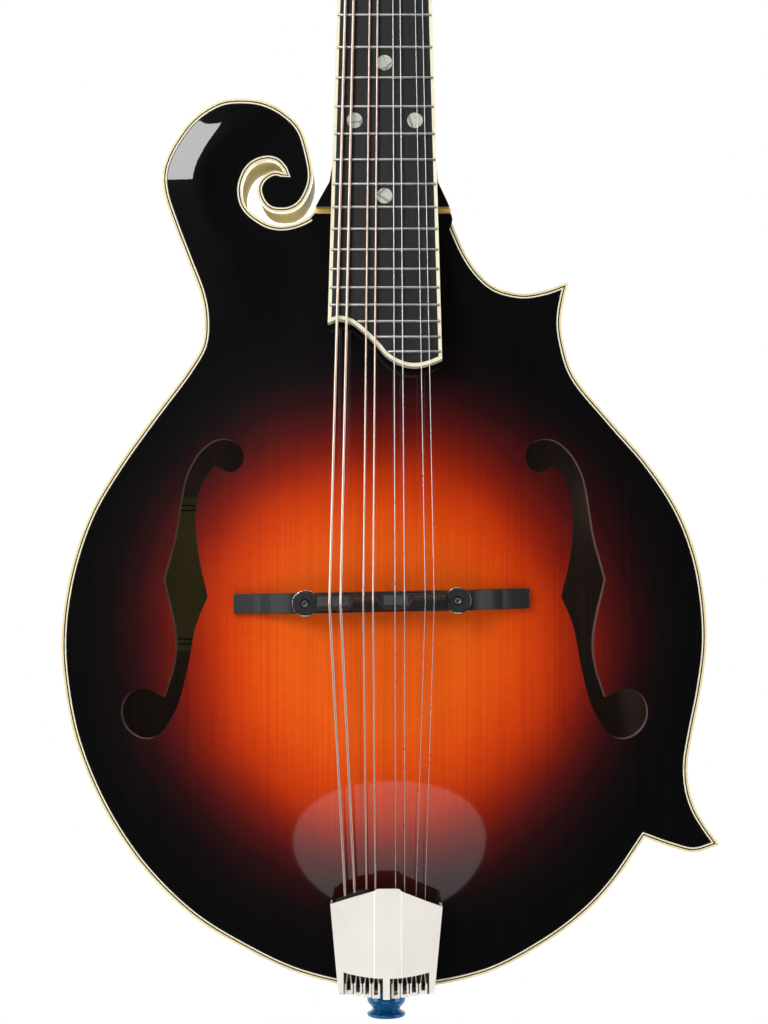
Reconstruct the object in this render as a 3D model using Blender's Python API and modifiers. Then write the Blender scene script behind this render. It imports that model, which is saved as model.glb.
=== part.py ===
"""An F-style mandolin, modelled piece by piece. Metres, +Z up the neck, front of the body facing -Y,
treble side at +X. The world origin lies inside the neck, at the nut. Driving sizes are in millimetres."""

import math

import bmesh
import bpy
import numpy as np
from mathutils import Matrix, Vector
from mathutils.geometry import delaunay_2d_cdt

MM = 0.001
GAP = 0.3  # left between pieces that touch on the real instrument

# ---- Driving sizes. Outlines use (x, down): across the body, and down from the nut. ----
SCALE = 353.6  # the free string from nut to saddle
NECK_TILT = math.radians(5.5)
HEAD_TILT = math.radians(20.5)
NUT_FRONT = -10.0  # y of the board's surface at the nut
CURVE_STEP = 12.0  # a longer step gives coarser outlines
FLAT_ANGLE = math.radians(0.05)  # faces that meet at less than this are one flat face

TOP_EDGE, TOP_CREST = -18.5, -31.0  # y of the top plate's outer face at its edge and at the bridge
BACK_EDGE, BACK_CREST = 25.5, 36.0
PLATE = 4.5
BINDING_WIDTH = 1.7
RIB = 3.4
LINING = 6.0
ARCH_REACH = 115.0  # distance from the edge to the crest of the arch

NECK_JOINT = 203.5
JOINT_BASS, JOINT_TREBLE = (-26.5, NECK_JOINT), (25.2, NECK_JOINT)
UPPER_TIP, LOWER_TIP = (70.1, 231.1), (127.5, 445.6)
NOTCH = (99.1, 442.9)
SLOT_END = (-37.7, 189.8)

TREBLE_SHOULDER = [JOINT_TREBLE, (25.5, 207.8), (27.6, 213.2), (31.2, 220.8), (35.6, 227.3),
                   (42.1, 233.0), (52.3, 235.6), (61.2, 234.3), UPPER_TIP]
TREBLE_WAIST = [UPPER_TIP, (68.4, 237.9), (67.3, 246.3), (68.4, 255.1), (72.2, 266.5), (85.9, 283.6),
                (100.8, 300.8), (112.0, 317.9), (118.7, 335.1), (121.9, 352.2), (122.7, 369.4),
                (120.6, 386.5), (117.2, 403.7), (115.5, 415.1), (116.2, 424.6), (118.7, 432.2),
                (122.1, 438.0), LOWER_TIP]
LOWER_POINT = [LOWER_TIP, (117.9, 448.4), (109.3, 446.5), NOTCH]
TAIL_RUN = [NOTCH, (86.7, 460.8), (75.6, 472.3), (60.0, 483.7), (37.1, 495.1), (0.0, 500.4),
            (-31.1, 495.1), (-55.8, 483.7), (-73.7, 472.3), (-91.3, 455.1), (-103.4, 438.0),
            (-112.2, 420.8), (-118.3, 403.7), (-121.7, 386.5), (-123.1, 369.4), (-121.7, 352.2),
            (-117.9, 335.1), (-111.4, 317.9), (-101.2, 300.8), (-89.0, 283.6), (-74.1, 263.5),
            (-69.5, 255.1), (-68.6, 246.3), (-69.9, 236.8), (-75.1, 222.7), (-80.2, 209.4),
            (-84.0, 197.8), (-84.7, 190.9), (-83.5, 185.1), (-79.6, 177.3), (-72.4, 168.3),
            (-62.6, 162.3), (-53.4, 161.3), (-45.6, 162.5), (-38.3, 166.2), (-32.0, 172.5),
            (-28.7, 182.3), (-27.4, 190.3), (-27.9, 194.3), (-29.5, 198.3), (-31.9, 201.8),
            (-35.4, 204.0), (-39.4, 204.6), (-43.4, 204.0), (-46.3, 201.8), (-48.1, 198.3),
            (-48.5, 195.1), (-47.1, 191.9), (-44.7, 189.8), (-41.5, 188.7), SLOT_END]
SCROLL_SLOT = [SLOT_END, (-39.4, 187.5), (-41.0, 185.8), (-44.2, 184.8), (-48.7, 185.9),
               (-52.0, 188.8), (-54.3, 195.1), (-53.5, 201.0), (-51.1, 204.4), (-47.4, 207.2),
               (-44.7, 208.7), (-40.7, 209.7), (-36.7, 209.5), (-32.7, 208.4), (-28.2, 206.0),
               JOINT_BASS]
BODY_RUNS = [TREBLE_SHOULDER, TREBLE_WAIST, LOWER_POINT, TAIL_RUN, SCROLL_SLOT, [JOINT_BASS, JOINT_TREBLE]]

# The sound chamber's plan, without the scroll and the points. The arch and the linings follow it.
CHAMBER = [(0.0, 206.0), (26.0, 212.0), (38.0, 230.0), (56.0, 243.0), (66.0, 255.0), (72.2, 266.5),
           (85.9, 283.6), (100.8, 300.8), (112.0, 317.9), (118.7, 335.1), (121.9, 352.2),
           (122.7, 369.4), (120.6, 386.5), (116.9, 403.7), (110.0, 424.0), NOTCH, (86.7, 460.8),
           (75.6, 472.3), (60.0, 483.7), (37.1, 495.1), (0.0, 500.4), (-31.1, 495.1),
           (-55.8, 483.7), (-73.7, 472.3), (-91.3, 455.1), (-103.4, 438.0), (-112.2, 420.8),
           (-118.3, 403.7), (-121.7, 386.5), (-123.1, 369.4), (-121.7, 352.2), (-117.9, 335.1),
           (-111.4, 317.9), (-101.2, 300.8), (-89.0, 283.6), (-74.1, 263.5), (-67.0, 250.0),
           (-56.0, 236.0), (-26.0, 212.0)]

F_HOLE_RUNS = [
    [(-64.5, 301.1), (-68.2, 306.1), (-70.7, 311.9), (-71.7, 320.9), (-70.3, 336.5), (-67.0, 350.8)],
    [(-67.0, 350.8), (-71.5, 361.9), (-74.8, 378.3), (-79.3, 393.9), (-86.2, 403.7), (-91.2, 405.2),
     (-96.1, 403.3), (-99.4, 399.2), (-100.3, 394.7), (-98.9, 389.8), (-95.3, 386.7),
     (-90.7, 386.1), (-84.0, 389.2)],
    [(-84.0, 389.2), (-80.1, 376.6), (-79.5, 366.0), (-84.1, 344.3)],
    [(-84.1, 344.3), (-79.7, 328.3), (-76.4, 308.6), (-74.4, 302.5), (-70.7, 296.3),
     (-65.7, 292.1), (-60.8, 291.0), (-55.1, 293.4), (-53.5, 298.0), (-54.7, 301.6),
     (-58.4, 303.7), (-64.5, 301.1)],
]

BOARD_THICK = 6.0
BOARD_HALF_AT_NUT, BOARD_SPREAD = 14.75, 0.02635  # half width, and its growth for each mm down
BOARD_EDGING = 1.45
BOARD_END = [(-21.3, 249.0), (-17.3, 247.6), (-12.6, 248.7), (-7.8, 252.4), (-3.0, 257.2), (0.8, 261.5),
             (6.6, 264.7), (11.4, 265.5), (16.2, 264.7), (21.6, 262.6)]
FRETS = 23
FRET_WIDTH, FRET_HEIGHT = 2.0, 1.0
NUT_LENGTH = 4.5

HEAD_THICK = 15.0
OVERLAY = 2.0
HEAD_BOTTOM_HALF = 15.2
HEAD_RUNS = [
    [(HEAD_BOTTOM_HALF, -1.2), (16.2, -9.0), (20.5, -17.5), (27.0, -23.5), (32.0, -30.5)],
    [(32.0, -30.5), (30.8, -45.0), (29.4, -65.0), (28.6, -90.0), (29.8, -108.0), (33.5, -120.0),
     (38.0, -132.0), (39.0, -143.0), (35.5, -152.5), (28.0, -156.0), (20.5, -152.5),
     (18.2, -145.0), (21.5, -139.0), (26.5, -139.5)],
    [(26.5, -139.5), (22.0, -134.5), (15.5, -134.5), (10.5, -140.0), (8.5, -148.0), (5.5, -156.5),
     (-1.0, -164.0)],
    [(-1.0, -164.0), (-7.0, -156.5), (-9.5, -147.0), (-14.0, -139.0), (-21.0, -134.0),
     (-30.0, -131.5), (-37.0, -126.5)],
    [(-37.0, -126.5), (-31.0, -116.0), (-28.8, -104.0), (-28.6, -85.0), (-29.4, -65.0),
     (-30.8, -45.0), (-32.0, -30.5)],
    [(-32.0, -30.5), (-27.0, -23.5), (-20.5, -17.5), (-16.2, -9.0), (-HEAD_BOTTOM_HALF, -1.2)],
    [(-HEAD_BOTTOM_HALF, -1.2), (HEAD_BOTTOM_HALF, -1.2)],
]
POST_X = 19.0
POSTS_DOWN = [-36.0, -59.0, -82.0, -105.0]
POST_RADIUS, POST_FRONT, POST_BACK = 3.0, -13.0, 21.5
PLATE_BACK = HEAD_THICK + GAP
TUNER_PLATE = 1.2

TEETH = 16
THREAD_PITCH = 1.7
GEAR_ROOT, GEAR_TIP = 3.85, 4.8
WORM_ROOT, WORM_TIP = 1.7, 2.6
WORM_OFFSET = 6.65  # between the gear's axis and the worm's
GEAR_MIDDLE, GEAR_THICK = 19.3, 2.0
KNOB_SHAFT = (-7.5, 19.0)  # along the worm axis, outwards
KNOB_BUTTON = 25.0

STRINGS = [  # x at nut, at saddle, at tailpiece hook, diameter, side of its tuner, tuner's number
    (-11.8, -20.4, -13.5, 1.02, -1, 0), (-9.3, -16.3, -10.0, 1.02, -1, 1),
    (-4.4, -7.9, -6.5, 0.66, -1, 2), (-1.7, -4.3, -3.2, 0.66, -1, 3),
    (2.8, 3.9, 4.2, 0.38, 1, 3), (5.1, 7.4, 7.6, 0.38, 1, 2),
    (9.7, 15.1, 11.1, 0.28, 1, 1), (12.1, 18.4, 14.6, 0.28, 1, 0),
]
STRING_OVER_NUT = 1.2
HOOK_DOWN, HOOK_FRONT, HOOK_RADIUS = 494.5, -26.5, 1.0

TENON_HALF, TENON_END, TENON_FRONT, TENON_BACK = 11.0, 224.0, -12.0, 19.0
WOOD_TOP = BOARD_THICK + GAP
ROD_RADIUS, ROD_DEPTH = 2.4, 10.6
NECK_SECTIONS = [  # down, half width, y of the back, squareness of the section
    (-12.0, 13.0, 12.0, 0.6), (0.0, 14.6, 12.0, 0.75), (60.0, 16.3, 7.2, 0.75), (120.0, 17.9, 2.2, 0.75),
    (165.0, 19.1, -0.5, 0.75), (180.0, 19.5, 2.5, 0.8), (188.0, 19.9, 8.0, 0.9), (193.5, 20.8, 14.0, 1.0),
    (197.0, 22.6, 19.0, 1.15), (200.5, 24.4, 23.0, 1.25), (NECK_JOINT - GAP, 25.1, 25.0, 1.3),
]

BRIDGE_X, BRIDGE_DOWN, BRIDGE_TURN = -1.1, 352.4, math.radians(1.1)
BRIDGE_LENGTH, BRIDGE_WIDTH = 111.8, 7.6
BRIDGE_SHOULDER = [(41.5, -33.4), (34.0, -37.8)]  # (along, depth)
BRIDGE_END_HIGH = 3.5
BASE_FRONT, WHEEL_THICK, SADDLE_FRONT = -37.8, 1.8, -46.0
STUD_X, STUD_RADIUS, WHEEL_RADIUS = 28.5, 1.6, 5.0
SADDLE_BACK = BASE_FRONT - 2 * GAP - WHEEL_THICK

COVER_OUTLINE = [(-20.4, 466.1), (-3.5, 460.8), (6.0, 460.8), (21.8, 467.1), (20.0, 497.1), (-18.6, 497.1)]
COVER_FRONT, COVER_BACK, COVER_WALL = -34.5, -23.2, 1.2
BUTTON_X, BUTTON_Y = 0.7, 3.5
BUTTON_PROFILE = [  # radius, down
    (0.0, 484.0), (3.2, 484.0), (3.2, 502.4), (5.8, 502.4), (7.0, 505.4), (7.4, 508.7),
    (6.0, 511.0), (5.3, 512.0), (7.0, 513.2), (7.4, 514.0), (6.0, 515.0), (0.0, 515.0),
]

MATERIALS = {  # colour, roughness, metallic
    "sunburst_spruce": ((0.55, 0.13, 0.02), 0.2, 0.0),
    "sunburst_maple": ((0.16, 0.03, 0.01), 0.2, 0.0),
    "bare_wood": ((0.55, 0.38, 0.2), 0.6, 0.0),
    "black_lacquer": ((0.01, 0.01, 0.012), 0.15, 0.0),
    "ebony": ((0.02, 0.018, 0.018), 0.45, 0.0),
    "ivoroid": ((0.85, 0.78, 0.58), 0.35, 0.0),
    "pearl": ((0.8, 0.8, 0.76), 0.25, 0.0),
    "nickel": ((0.82, 0.81, 0.77), 0.18, 1.0),
    "brass": ((0.75, 0.55, 0.25), 0.3, 1.0),
    "steel": ((0.7, 0.7, 0.7), 0.25, 1.0),
    "bronze": ((0.75, 0.45, 0.3), 0.3, 1.0),
    "blue_metal": ((0.02, 0.18, 0.4), 0.3, 1.0),
}


# ---- Frames: local x is across, local y is down the neck, local z is depth into the instrument ----
def frame(tilt, x=0.0, y=0.0, down=0.0):
    place = Matrix.Translation(Vector((x, y, -down)) * MM)
    return place @ Matrix.Rotation(-(math.pi / 2 + tilt), 4, "X")


def moved(base, x=0.0, down=0.0, depth=0.0):
    return base @ Matrix.Translation(Vector((x, down, depth)) * MM)


BODY = frame(0.0)
NECK = frame(NECK_TILT, y=NUT_FRONT)
HEAD = frame(HEAD_TILT, y=NUT_FRONT + 2.5, down=-NUT_LENGTH - GAP)
BRIDGE = (
    Matrix.Translation(Vector((BRIDGE_X, 0.0, -BRIDGE_DOWN)) * MM)
    @ Matrix.Rotation(-BRIDGE_TURN, 4, "Y")
    @ frame(0.0)
)


# ---- Outlines ----
def smooth_run(points, step=CURVE_STEP):
    """Points on a centripetal Catmull-Rom curve through the given points, both ends included."""
    knots = [Vector(point) for point in points]
    knots = [2 * knots[0] - knots[1]] + knots + [2 * knots[-1] - knots[-2]]
    result = []
    for a, b, c, d in zip(knots, knots[1:], knots[2:], knots[3:]):
        times = [0.0]
        for start, end in ((a, b), (b, c), (c, d)):
            times.append(times[-1] + math.sqrt((end - start).length))
        count = max(1, round((c - b).length / step))
        for index in range(count):
            time = times[1] + (times[2] - times[1]) * index / count
            result.append(on_curve((a, b, c, d), times, time))
    result.append(knots[-2])
    return result


def on_curve(knots, times, time):
    level = list(knots)
    for order, spans in ((1, 3), (2, 2), (2, 1)):
        level = [
            blend(level[i], level[i + 1], *curve_span(times, order, spans, i), time) for i in range(spans)
        ]
    return level[0]


def curve_span(times, order, spans, index):
    if spans == 3:
        return times[index], times[index + 1]
    if spans == 2:
        return times[index], times[index + 2]
    return times[1], times[2]


def blend(first, second, start, end, time):
    share = (time - start) / (end - start)
    return first.lerp(second, share)


def outline(runs, step=CURVE_STEP):
    """A closed outline made of smooth runs, with a corner where one run ends and the next starts."""
    return [tuple(point) for run in runs for point in smooth_run(run, step)[:-1]]


def smooth_loop(points, step=CURVE_STEP):
    """A closed smooth outline through the given points."""
    count = len(points)
    wrapped = smooth_run(points + points[:3], step)
    starts = smooth_run(points[:2], step)
    skip = len(starts) - 1
    length = sum(
        max(1, round((Vector(points[(i + 1) % count]) - Vector(points[i])).length / step))
        for i in range(count)
    )
    return [tuple(point) for point in wrapped[skip:skip + length]]


def counter_clockwise(loop):
    points = np.array(loop)
    following = np.roll(points, -1, axis=0)
    area = np.sum(points[:, 0] * following[:, 1] - points[:, 1] * following[:, 0])
    return points if area > 0 else points[::-1]


def distance_to(loop, points):
    """The distance from each point to the nearest edge of a closed loop."""
    start = np.array(loop)
    edge = np.roll(start, -1, axis=0) - start
    offset = np.asarray(points)[:, None, :] - start[None]
    share = np.clip(np.sum(offset * edge, axis=2) / np.sum(edge * edge, axis=1), 0.0, 1.0)
    return np.min(np.linalg.norm(offset - share[..., None] * edge, axis=2), axis=1)


def is_inside(loop, points):
    """Whether each point lies inside a closed loop, by counting the edges to its right."""
    start = np.array(loop)
    end = np.roll(start, -1, axis=0)
    x, y = np.asarray(points).T[..., None]
    crosses = (start[:, 1] > y) != (end[:, 1] > y)
    rise = np.where(end[:, 1] == start[:, 1], 1e-12, end[:, 1] - start[:, 1])
    edge_x = start[:, 0] + (y - start[:, 1]) * (end[:, 0] - start[:, 0]) / rise
    return np.sum(crosses & (x < edge_x), axis=1) % 2 == 1


def inset(loop, distance):
    """The loop moved inwards, without the points that would come too near another stretch of it."""
    points = counter_clockwise(loop)
    ahead = np.roll(points, -1, axis=0) - points
    ahead /= np.linalg.norm(ahead, axis=1, keepdims=True)
    normal_after = np.stack([-ahead[:, 1], ahead[:, 0]], axis=1)
    normal_before = np.roll(normal_after, 1, axis=0)
    turn = np.sum(normal_before * normal_after, axis=1, keepdims=True)
    mitre = (normal_before + normal_after) / np.maximum(1.0 + turn, 0.15)
    before = np.roll(ahead, 1, axis=0)
    reflex = before[:, 0] * ahead[:, 1] - before[:, 1] * ahead[:, 0] < 0.0
    length = np.linalg.norm(mitre, axis=1)
    limit = np.where(reflex, 1.3, 4.0)
    mitre *= np.minimum(1.0, limit / length)[:, None]
    result = points + mitre * distance
    keep = is_inside(points, result) & (distance_to(points, result) > 0.93 * distance)
    return [tuple(point) for point in result[keep]]


def rectangle(x_low, x_high, down_low, down_high):
    return [(x_low, down_low), (x_high, down_low), (x_high, down_high), (x_low, down_high)]


def circle(x, down, radius, sides=12):
    return [
        (x + radius * math.cos(math.tau * i / sides), down + radius * math.sin(math.tau * i / sides))
        for i in range(sides)
    ]


def mirrored(loop):
    return [(-x, down) for x, down in reversed(loop)]


# ---- Scene helpers ----
def clear_scene():
    for item in list(bpy.data.objects):
        bpy.data.objects.remove(item)


def make_collection(name):
    collection = bpy.data.collections.new(name)
    bpy.context.scene.collection.children.link(collection)
    return collection


def link_mesh(name, mesh, matrix):
    item = bpy.data.objects.new(name, mesh)
    bpy.context.scene.collection.objects.link(item)
    item.matrix_world = matrix
    return item


def from_bmesh(name, source, matrix):
    mesh = bpy.data.meshes.new(name)
    source.to_mesh(mesh)
    source.free()
    return link_mesh(name, mesh, matrix)


def evaluated_mesh(item):
    bpy.context.view_layer.update()
    seen = item.evaluated_get(bpy.context.evaluated_depsgraph_get())
    mesh = bpy.data.meshes.new_from_object(seen)
    work = bmesh.new()
    work.from_mesh(mesh)
    bmesh.ops.remove_doubles(work, verts=work.verts, dist=1e-6)
    bmesh.ops.dissolve_limit(work, angle_limit=FLAT_ANGLE, verts=work.verts, edges=work.edges)
    bmesh.ops.triangulate(work, faces=work.faces)
    bmesh.ops.recalc_face_normals(work, faces=work.faces)
    work.to_mesh(mesh)
    work.free()
    return mesh


def prism(name, loops, front, back, base=BODY):
    """A flat piece between two depths. Loops after the first are its holes."""
    curve = bpy.data.curves.new(name, "CURVE")
    curve.dimensions = "2D"
    curve.fill_mode = "BOTH"
    curve.extrude = (back - front) / 2 * MM
    for loop in loops:
        spline = curve.splines.new("POLY")
        spline.points.add(len(loop) - 1)
        spline.use_cyclic_u = True
        for point, (x, down) in zip(spline.points, loop):
            point.co = (x * MM, down * MM, 0.0, 1.0)
    drawn = bpy.data.objects.new(name, curve)
    bpy.context.scene.collection.objects.link(drawn)
    mesh = evaluated_mesh(drawn)
    bpy.data.objects.remove(drawn)
    return link_mesh(name, mesh, moved(base, depth=(front + back) / 2))


def box(name, x_span, down_span, depth_span, base=BODY):
    work = bmesh.new()
    bmesh.ops.create_cube(work, size=1.0)
    low, high = (Vector(corner) for corner in zip(x_span, down_span, depth_span))
    size = (high - low) * MM
    bmesh.ops.scale(work, vec=size, verts=work.verts)
    return from_bmesh(name, work, moved(base, *((low + high) / 2)))


def cylinder(name, radius, depth_span, base, sides=12):
    """A round bar along the frame's depth, on the frame's origin."""
    low, high = depth_span
    work = bmesh.new()
    bmesh.ops.create_cone(
        work, cap_ends=True, segments=sides, radius1=radius * MM, radius2=radius * MM, depth=(high - low) * MM
    )
    bmesh.ops.translate(work, vec=(0.0, 0.0, (low + high) / 2 * MM), verts=work.verts)
    return from_bmesh(name, work, base)


def combine(target, operation, *tools):
    """Applies one Boolean for each tool and removes the tool."""
    for tool in tools:
        modifier = target.modifiers.new("combine", "BOOLEAN")
        modifier.operation = operation
        modifier.solver = "EXACT"
        modifier.object = tool
        target.data = evaluated_mesh(target)
        target.modifiers.clear()
        bpy.data.objects.remove(tool)
    return target


def together(items):
    """Separate solids as one mesh, so that one Boolean takes them all."""
    work = bmesh.new()
    for item in items:
        item.data.transform(item.matrix_world)
        work.from_mesh(item.data)
    for item in items:
        bpy.data.objects.remove(item)
    return from_bmesh("together", work, Matrix.Identity(4))


def cut(target, *tools):
    return combine(target, "DIFFERENCE", *tools)


def join(target, *tools):
    return combine(target, "UNION", *tools)


def keep(target, *tools):
    return combine(target, "INTERSECT", *tools)


def turned(name, profile, steps, base):
    """A solid of revolution about the frame's local z. The profile is (radius, height)."""
    work = bmesh.new()
    verts = [work.verts.new((radius * MM, 0.0, height * MM)) for radius, height in profile]
    for first, second in zip(verts, verts[1:]):
        work.edges.new((first, second))
    item = from_bmesh(name, work, base)
    screw = item.modifiers.new("turn", "SCREW")
    screw.steps = screw.render_steps = steps
    screw.use_merge_vertices = True
    screw.merge_threshold = 1e-6
    screw.use_normal_calculate = True
    item.data = evaluated_mesh(item)
    item.modifiers.clear()
    return item


def finish(item, material, smooth=False):
    """Puts a finished piece in the mandolin's collection, with its own material."""
    colour, roughness, metallic = MATERIALS[material]
    finish_material = bpy.data.materials.new(item.name + "_" + material)
    finish_material.use_nodes = True
    shader = finish_material.node_tree.nodes["Principled BSDF"]
    shader.inputs["Base Color"].default_value = (*colour, 1.0)
    shader.inputs["Roughness"].default_value = roughness
    shader.inputs["Metallic"].default_value = metallic
    item.data.materials.clear()
    item.data.materials.append(finish_material)
    for polygon in item.data.polygons:
        polygon.use_smooth = smooth
    bpy.context.scene.collection.objects.unlink(item)
    bpy.data.collections["mandolin"].objects.link(item)
    return item


# ---- Body ----
def arch_share(points):
    """0 at the chamber's edge and beyond, 1 at the crest, with a hollow near the edge."""
    chamber = smooth_loop(CHAMBER)
    reach = np.clip(distance_to(chamber, points) / ARCH_REACH, 0.0, 1.0) * is_inside(chamber, points)
    return 0.5 - 0.5 * np.cos(math.pi * reach)


def face_depth(points, edge, crest):
    return edge + (crest - edge) * arch_share(points)


def net_points(loop, holes, step):
    """Staggered points that fill a loop, clear of its edge and of its holes."""
    low, high = np.min(loop, axis=0), np.max(loop, axis=0)
    rows = []
    for row, down in enumerate(np.arange(low[1], high[1], step * 0.87)):
        start = low[0] + (row % 2) * step / 2
        rows += [(x, down) for x in np.arange(start, high[0], step)]
    rows = np.array(rows)
    free = is_inside(loop, rows) & (distance_to(loop, rows) > step * 0.5)
    for hole in holes:
        free &= ~is_inside(hole, rows) & (distance_to(hole, rows) > step * 0.4)
    return rows[free]


def arched_plate(name, loop, holes, edge, crest, material):
    """A carved plate: an arched sheet inside the loop, thickened inwards."""
    rings = [np.array(loop)] + [np.array(hole) for hole in holes]
    edges, start = [], 0
    for ring in rings:
        count = len(ring)
        edges += [(start + i, start + (i + 1) % count) for i in range(count)]
        start += count
    flat = np.concatenate(rings + [net_points(loop, holes, 19.0)])
    points, _, triangles, *_ = delaunay_2d_cdt([Vector(p) for p in flat], edges, [], 0, 1e-5)
    points = np.array([tuple(p) for p in points])
    middles = np.array([points[list(triangle)].mean(axis=0) for triangle in triangles])
    inside = is_inside(loop, middles)
    for hole in holes:
        inside &= ~is_inside(hole, middles)
    depths = face_depth(points, edge, crest)
    work = bmesh.new()
    verts = [work.verts.new(Vector((x, down, depth)) * MM) for (x, down), depth in zip(points, depths)]
    for triangle, wanted in zip(triangles, inside):
        if wanted:
            work.faces.new([verts[i] for i in triangle])
    bmesh.ops.delete(work, geom=[v for v in work.verts if not v.link_faces], context="VERTS")
    outwards = 1.0 if crest > edge else -1.0
    for face in work.faces:
        face.normal_update()
        if face.normal.z * outwards < 0.0:
            face.normal_flip()
    item = from_bmesh(name, work, BODY)
    solidify = item.modifiers.new("thickness", "SOLIDIFY")
    solidify.thickness = PLATE * MM
    solidify.offset = -1.0
    item.data = evaluated_mesh(item)
    item.modifiers.clear()
    return finish(item, material, smooth=True)


def mitre_cut(tip, inner, side):
    """Two points on one side of a glue line from a body point's tip inwards."""
    tip, inner = Vector(tip), Vector(inner)
    along = (inner - tip).normalized()
    across = Vector((-along.y, along.x)) * side * GAP / 2
    return [tuple(tip - along * 30.0 + across), tuple(inner + along * 30.0 + across)]


def build_ribs(body):
    front, back = TOP_EDGE + PLATE + GAP, BACK_EDGE - PLATE - GAP
    upper_inner, lower_inner = (56.7, 245.9), (104.0, 437.3)
    upper_above, upper_below = mitre_cut(UPPER_TIP, upper_inner, 1), mitre_cut(UPPER_TIP, upper_inner, -1)
    lower_above, lower_below = mitre_cut(LOWER_TIP, lower_inner, 1), mitre_cut(LOWER_TIP, lower_inner, -1)
    regions = {
        "rib_bass": [(-150, 140), (-26.9, 140), (-26.9, 300), (-GAP / 2, 300), (-GAP / 2, 520), (-150, 520)],
        "rib_treble_upper": [(25.5, 190), (110, 190)] + upper_above + [(25.5, 260)],
        "rib_treble_waist": [upper_below[0], (190, 260), (190, 470)] + lower_above + [(40, 420), (38, 280)]
        + [upper_below[1]],
        "rib_treble_lower": lower_below + [(60, 440), (GAP / 2, 440), (GAP / 2, 520), (190, 520), (190, 470)],
    }
    for name, region in regions.items():
        ring = prism(name, [body, inset(body, RIB)], front, back)
        keep(ring, prism("region", [region], front - 5, back + 5))
        if name in ("rib_bass", "rib_treble_lower"):
            cut(ring, button_bore(3.5))
        finish(ring, "sunburst_maple", smooth=False)


def button_bore(radius):
    place = Matrix.Translation(Vector((BUTTON_X, BUTTON_Y, 0.0)) * MM) @ Matrix.Rotation(math.pi, 4, "X")
    return cylinder("bore", radius, (470.0, 520.0), place)


def build_rim(body):
    """Bindings at both edges, ribs between them, and the linings and blocks inside."""
    front, back = TOP_EDGE + PLATE + GAP, BACK_EDGE - PLATE - GAP
    rim = [body, inset(body, BINDING_WIDTH)]
    finish(prism("top_binding", rim, TOP_EDGE, TOP_EDGE + PLATE), "ivoroid")
    finish(prism("back_binding", rim, BACK_EDGE - PLATE, BACK_EDGE), "ivoroid")
    build_ribs(body)

    chamber = smooth_loop(CHAMBER)
    strip = [inset(chamber, RIB + GAP), inset(chamber, RIB + GAP + LINING)]
    chamber_region = [(-140, 250.5), (0, 250.5), (0, 257), (140, 257), (140, 520), (-140, 520)]
    lining_depth = 7.0
    spans = {"top_lining": (front, front + lining_depth), "back_lining": (back - lining_depth, back)}
    for name, (low, high) in spans.items():
        lining = prism(name, strip, low, high)
        keep(lining, prism("region", [chamber_region], low - 2, high + 2))
        finish(lining, "bare_wood")

    inner = inset(body, RIB + GAP)
    head_block = prism("head_block", [inner], front, back)
    keep(head_block, box("region", (-95, 31), (140, 250), (front - 2, back + 2)))
    join(head_block, box("heel_face", (-24, 24), (NECK_JOINT + GAP, 212), (front + 1, back - 1)))
    cut(head_block, box("mortise", (-TENON_HALF - GAP, TENON_HALF + GAP), (190, TENON_END + GAP),
                        (TENON_FRONT - GAP, TENON_BACK + GAP)))
    finish(head_block, "bare_wood")

    upper = prism("upper_point_block", [inner], front, back)
    region = [(47, 215), (80, 215), (80, 255), (60, 255), (47, 243)]
    keep(upper, prism("region", [region], front - 2, back + 2))
    finish(upper, "bare_wood")

    lower = prism("lower_point_block", [inner], front, back)
    keep(lower, box("region", (103, 140), (421, 460), (front - 2, back + 2)))
    cut(lower, prism("chamber", [inset(chamber, RIB)], front - 4, back + 4))
    finish(lower, "bare_wood")

    tail = prism("tail_block", [inner], front, back)
    keep(tail, box("region", (-32, 32), (477, 510), (front - 2, back + 2)))
    notch = [inset(chamber, RIB - 1), inset(chamber, RIB + 2 * GAP + LINING)]
    cut(tail, prism("notch", notch, front - 2, front + lining_depth + GAP))
    cut(tail, prism("notch", notch, back - lining_depth - GAP, back + 2))
    cut(tail, button_bore(3.5))
    finish(tail, "bare_wood")


def build_tone_bars():
    """Two bars glued under the top plate, along the strings and spread towards the tail."""
    stations, length, depth = 12, 190.0, 7.0
    for name, x_top, x_low in (("tone_bar_bass", -24.0, -38.0), ("tone_bar_treble", 26.0, 34.0)):
        work = bmesh.new()
        bmesh.ops.create_grid(work, x_segments=1, y_segments=stations, size=0.5)
        places = []
        for vert in work.verts:
            share = vert.co.y + 0.5
            x = x_top + (x_low - x_top) * share + vert.co.x * 6.0
            places.append((x, 268.0 + length * share))
        depths = face_depth(np.array(places), TOP_EDGE, TOP_CREST) + PLATE + 2 * GAP
        for vert, (x, down), level in zip(work.verts, places, depths):
            vert.co = Vector((x, down, level)) * MM
        bmesh.ops.recalc_face_normals(work, faces=work.faces)
        for face in work.faces:
            if face.normal.z > 0.0:
                face.normal_flip()
        item = from_bmesh(name, work, BODY)
        solidify = item.modifiers.new("thickness", "SOLIDIFY")
        solidify.thickness = depth * MM
        solidify.offset = -1.0
        item.data = evaluated_mesh(item)
        item.modifiers.clear()
        finish(item, "bare_wood")


def build_body():
    body = outline(BODY_RUNS)
    plate_loop = inset(body, BINDING_WIDTH + GAP)
    bass_hole = outline(F_HOLE_RUNS)
    holes = [bass_hole, mirrored(bass_hole)]
    arched_plate("top_plate", plate_loop, holes, TOP_EDGE, TOP_CREST, "sunburst_spruce")
    arched_plate("back_plate", plate_loop, [], BACK_EDGE, BACK_CREST, "sunburst_maple")
    build_rim(body)
    build_tone_bars()


# ---- Neck ----
def board_y(down, depth=0.0):
    """y of a plane at a depth under the board's surface."""
    return NUT_FRONT - down * math.tan(NECK_TILT) + depth / math.cos(NECK_TILT)


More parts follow.
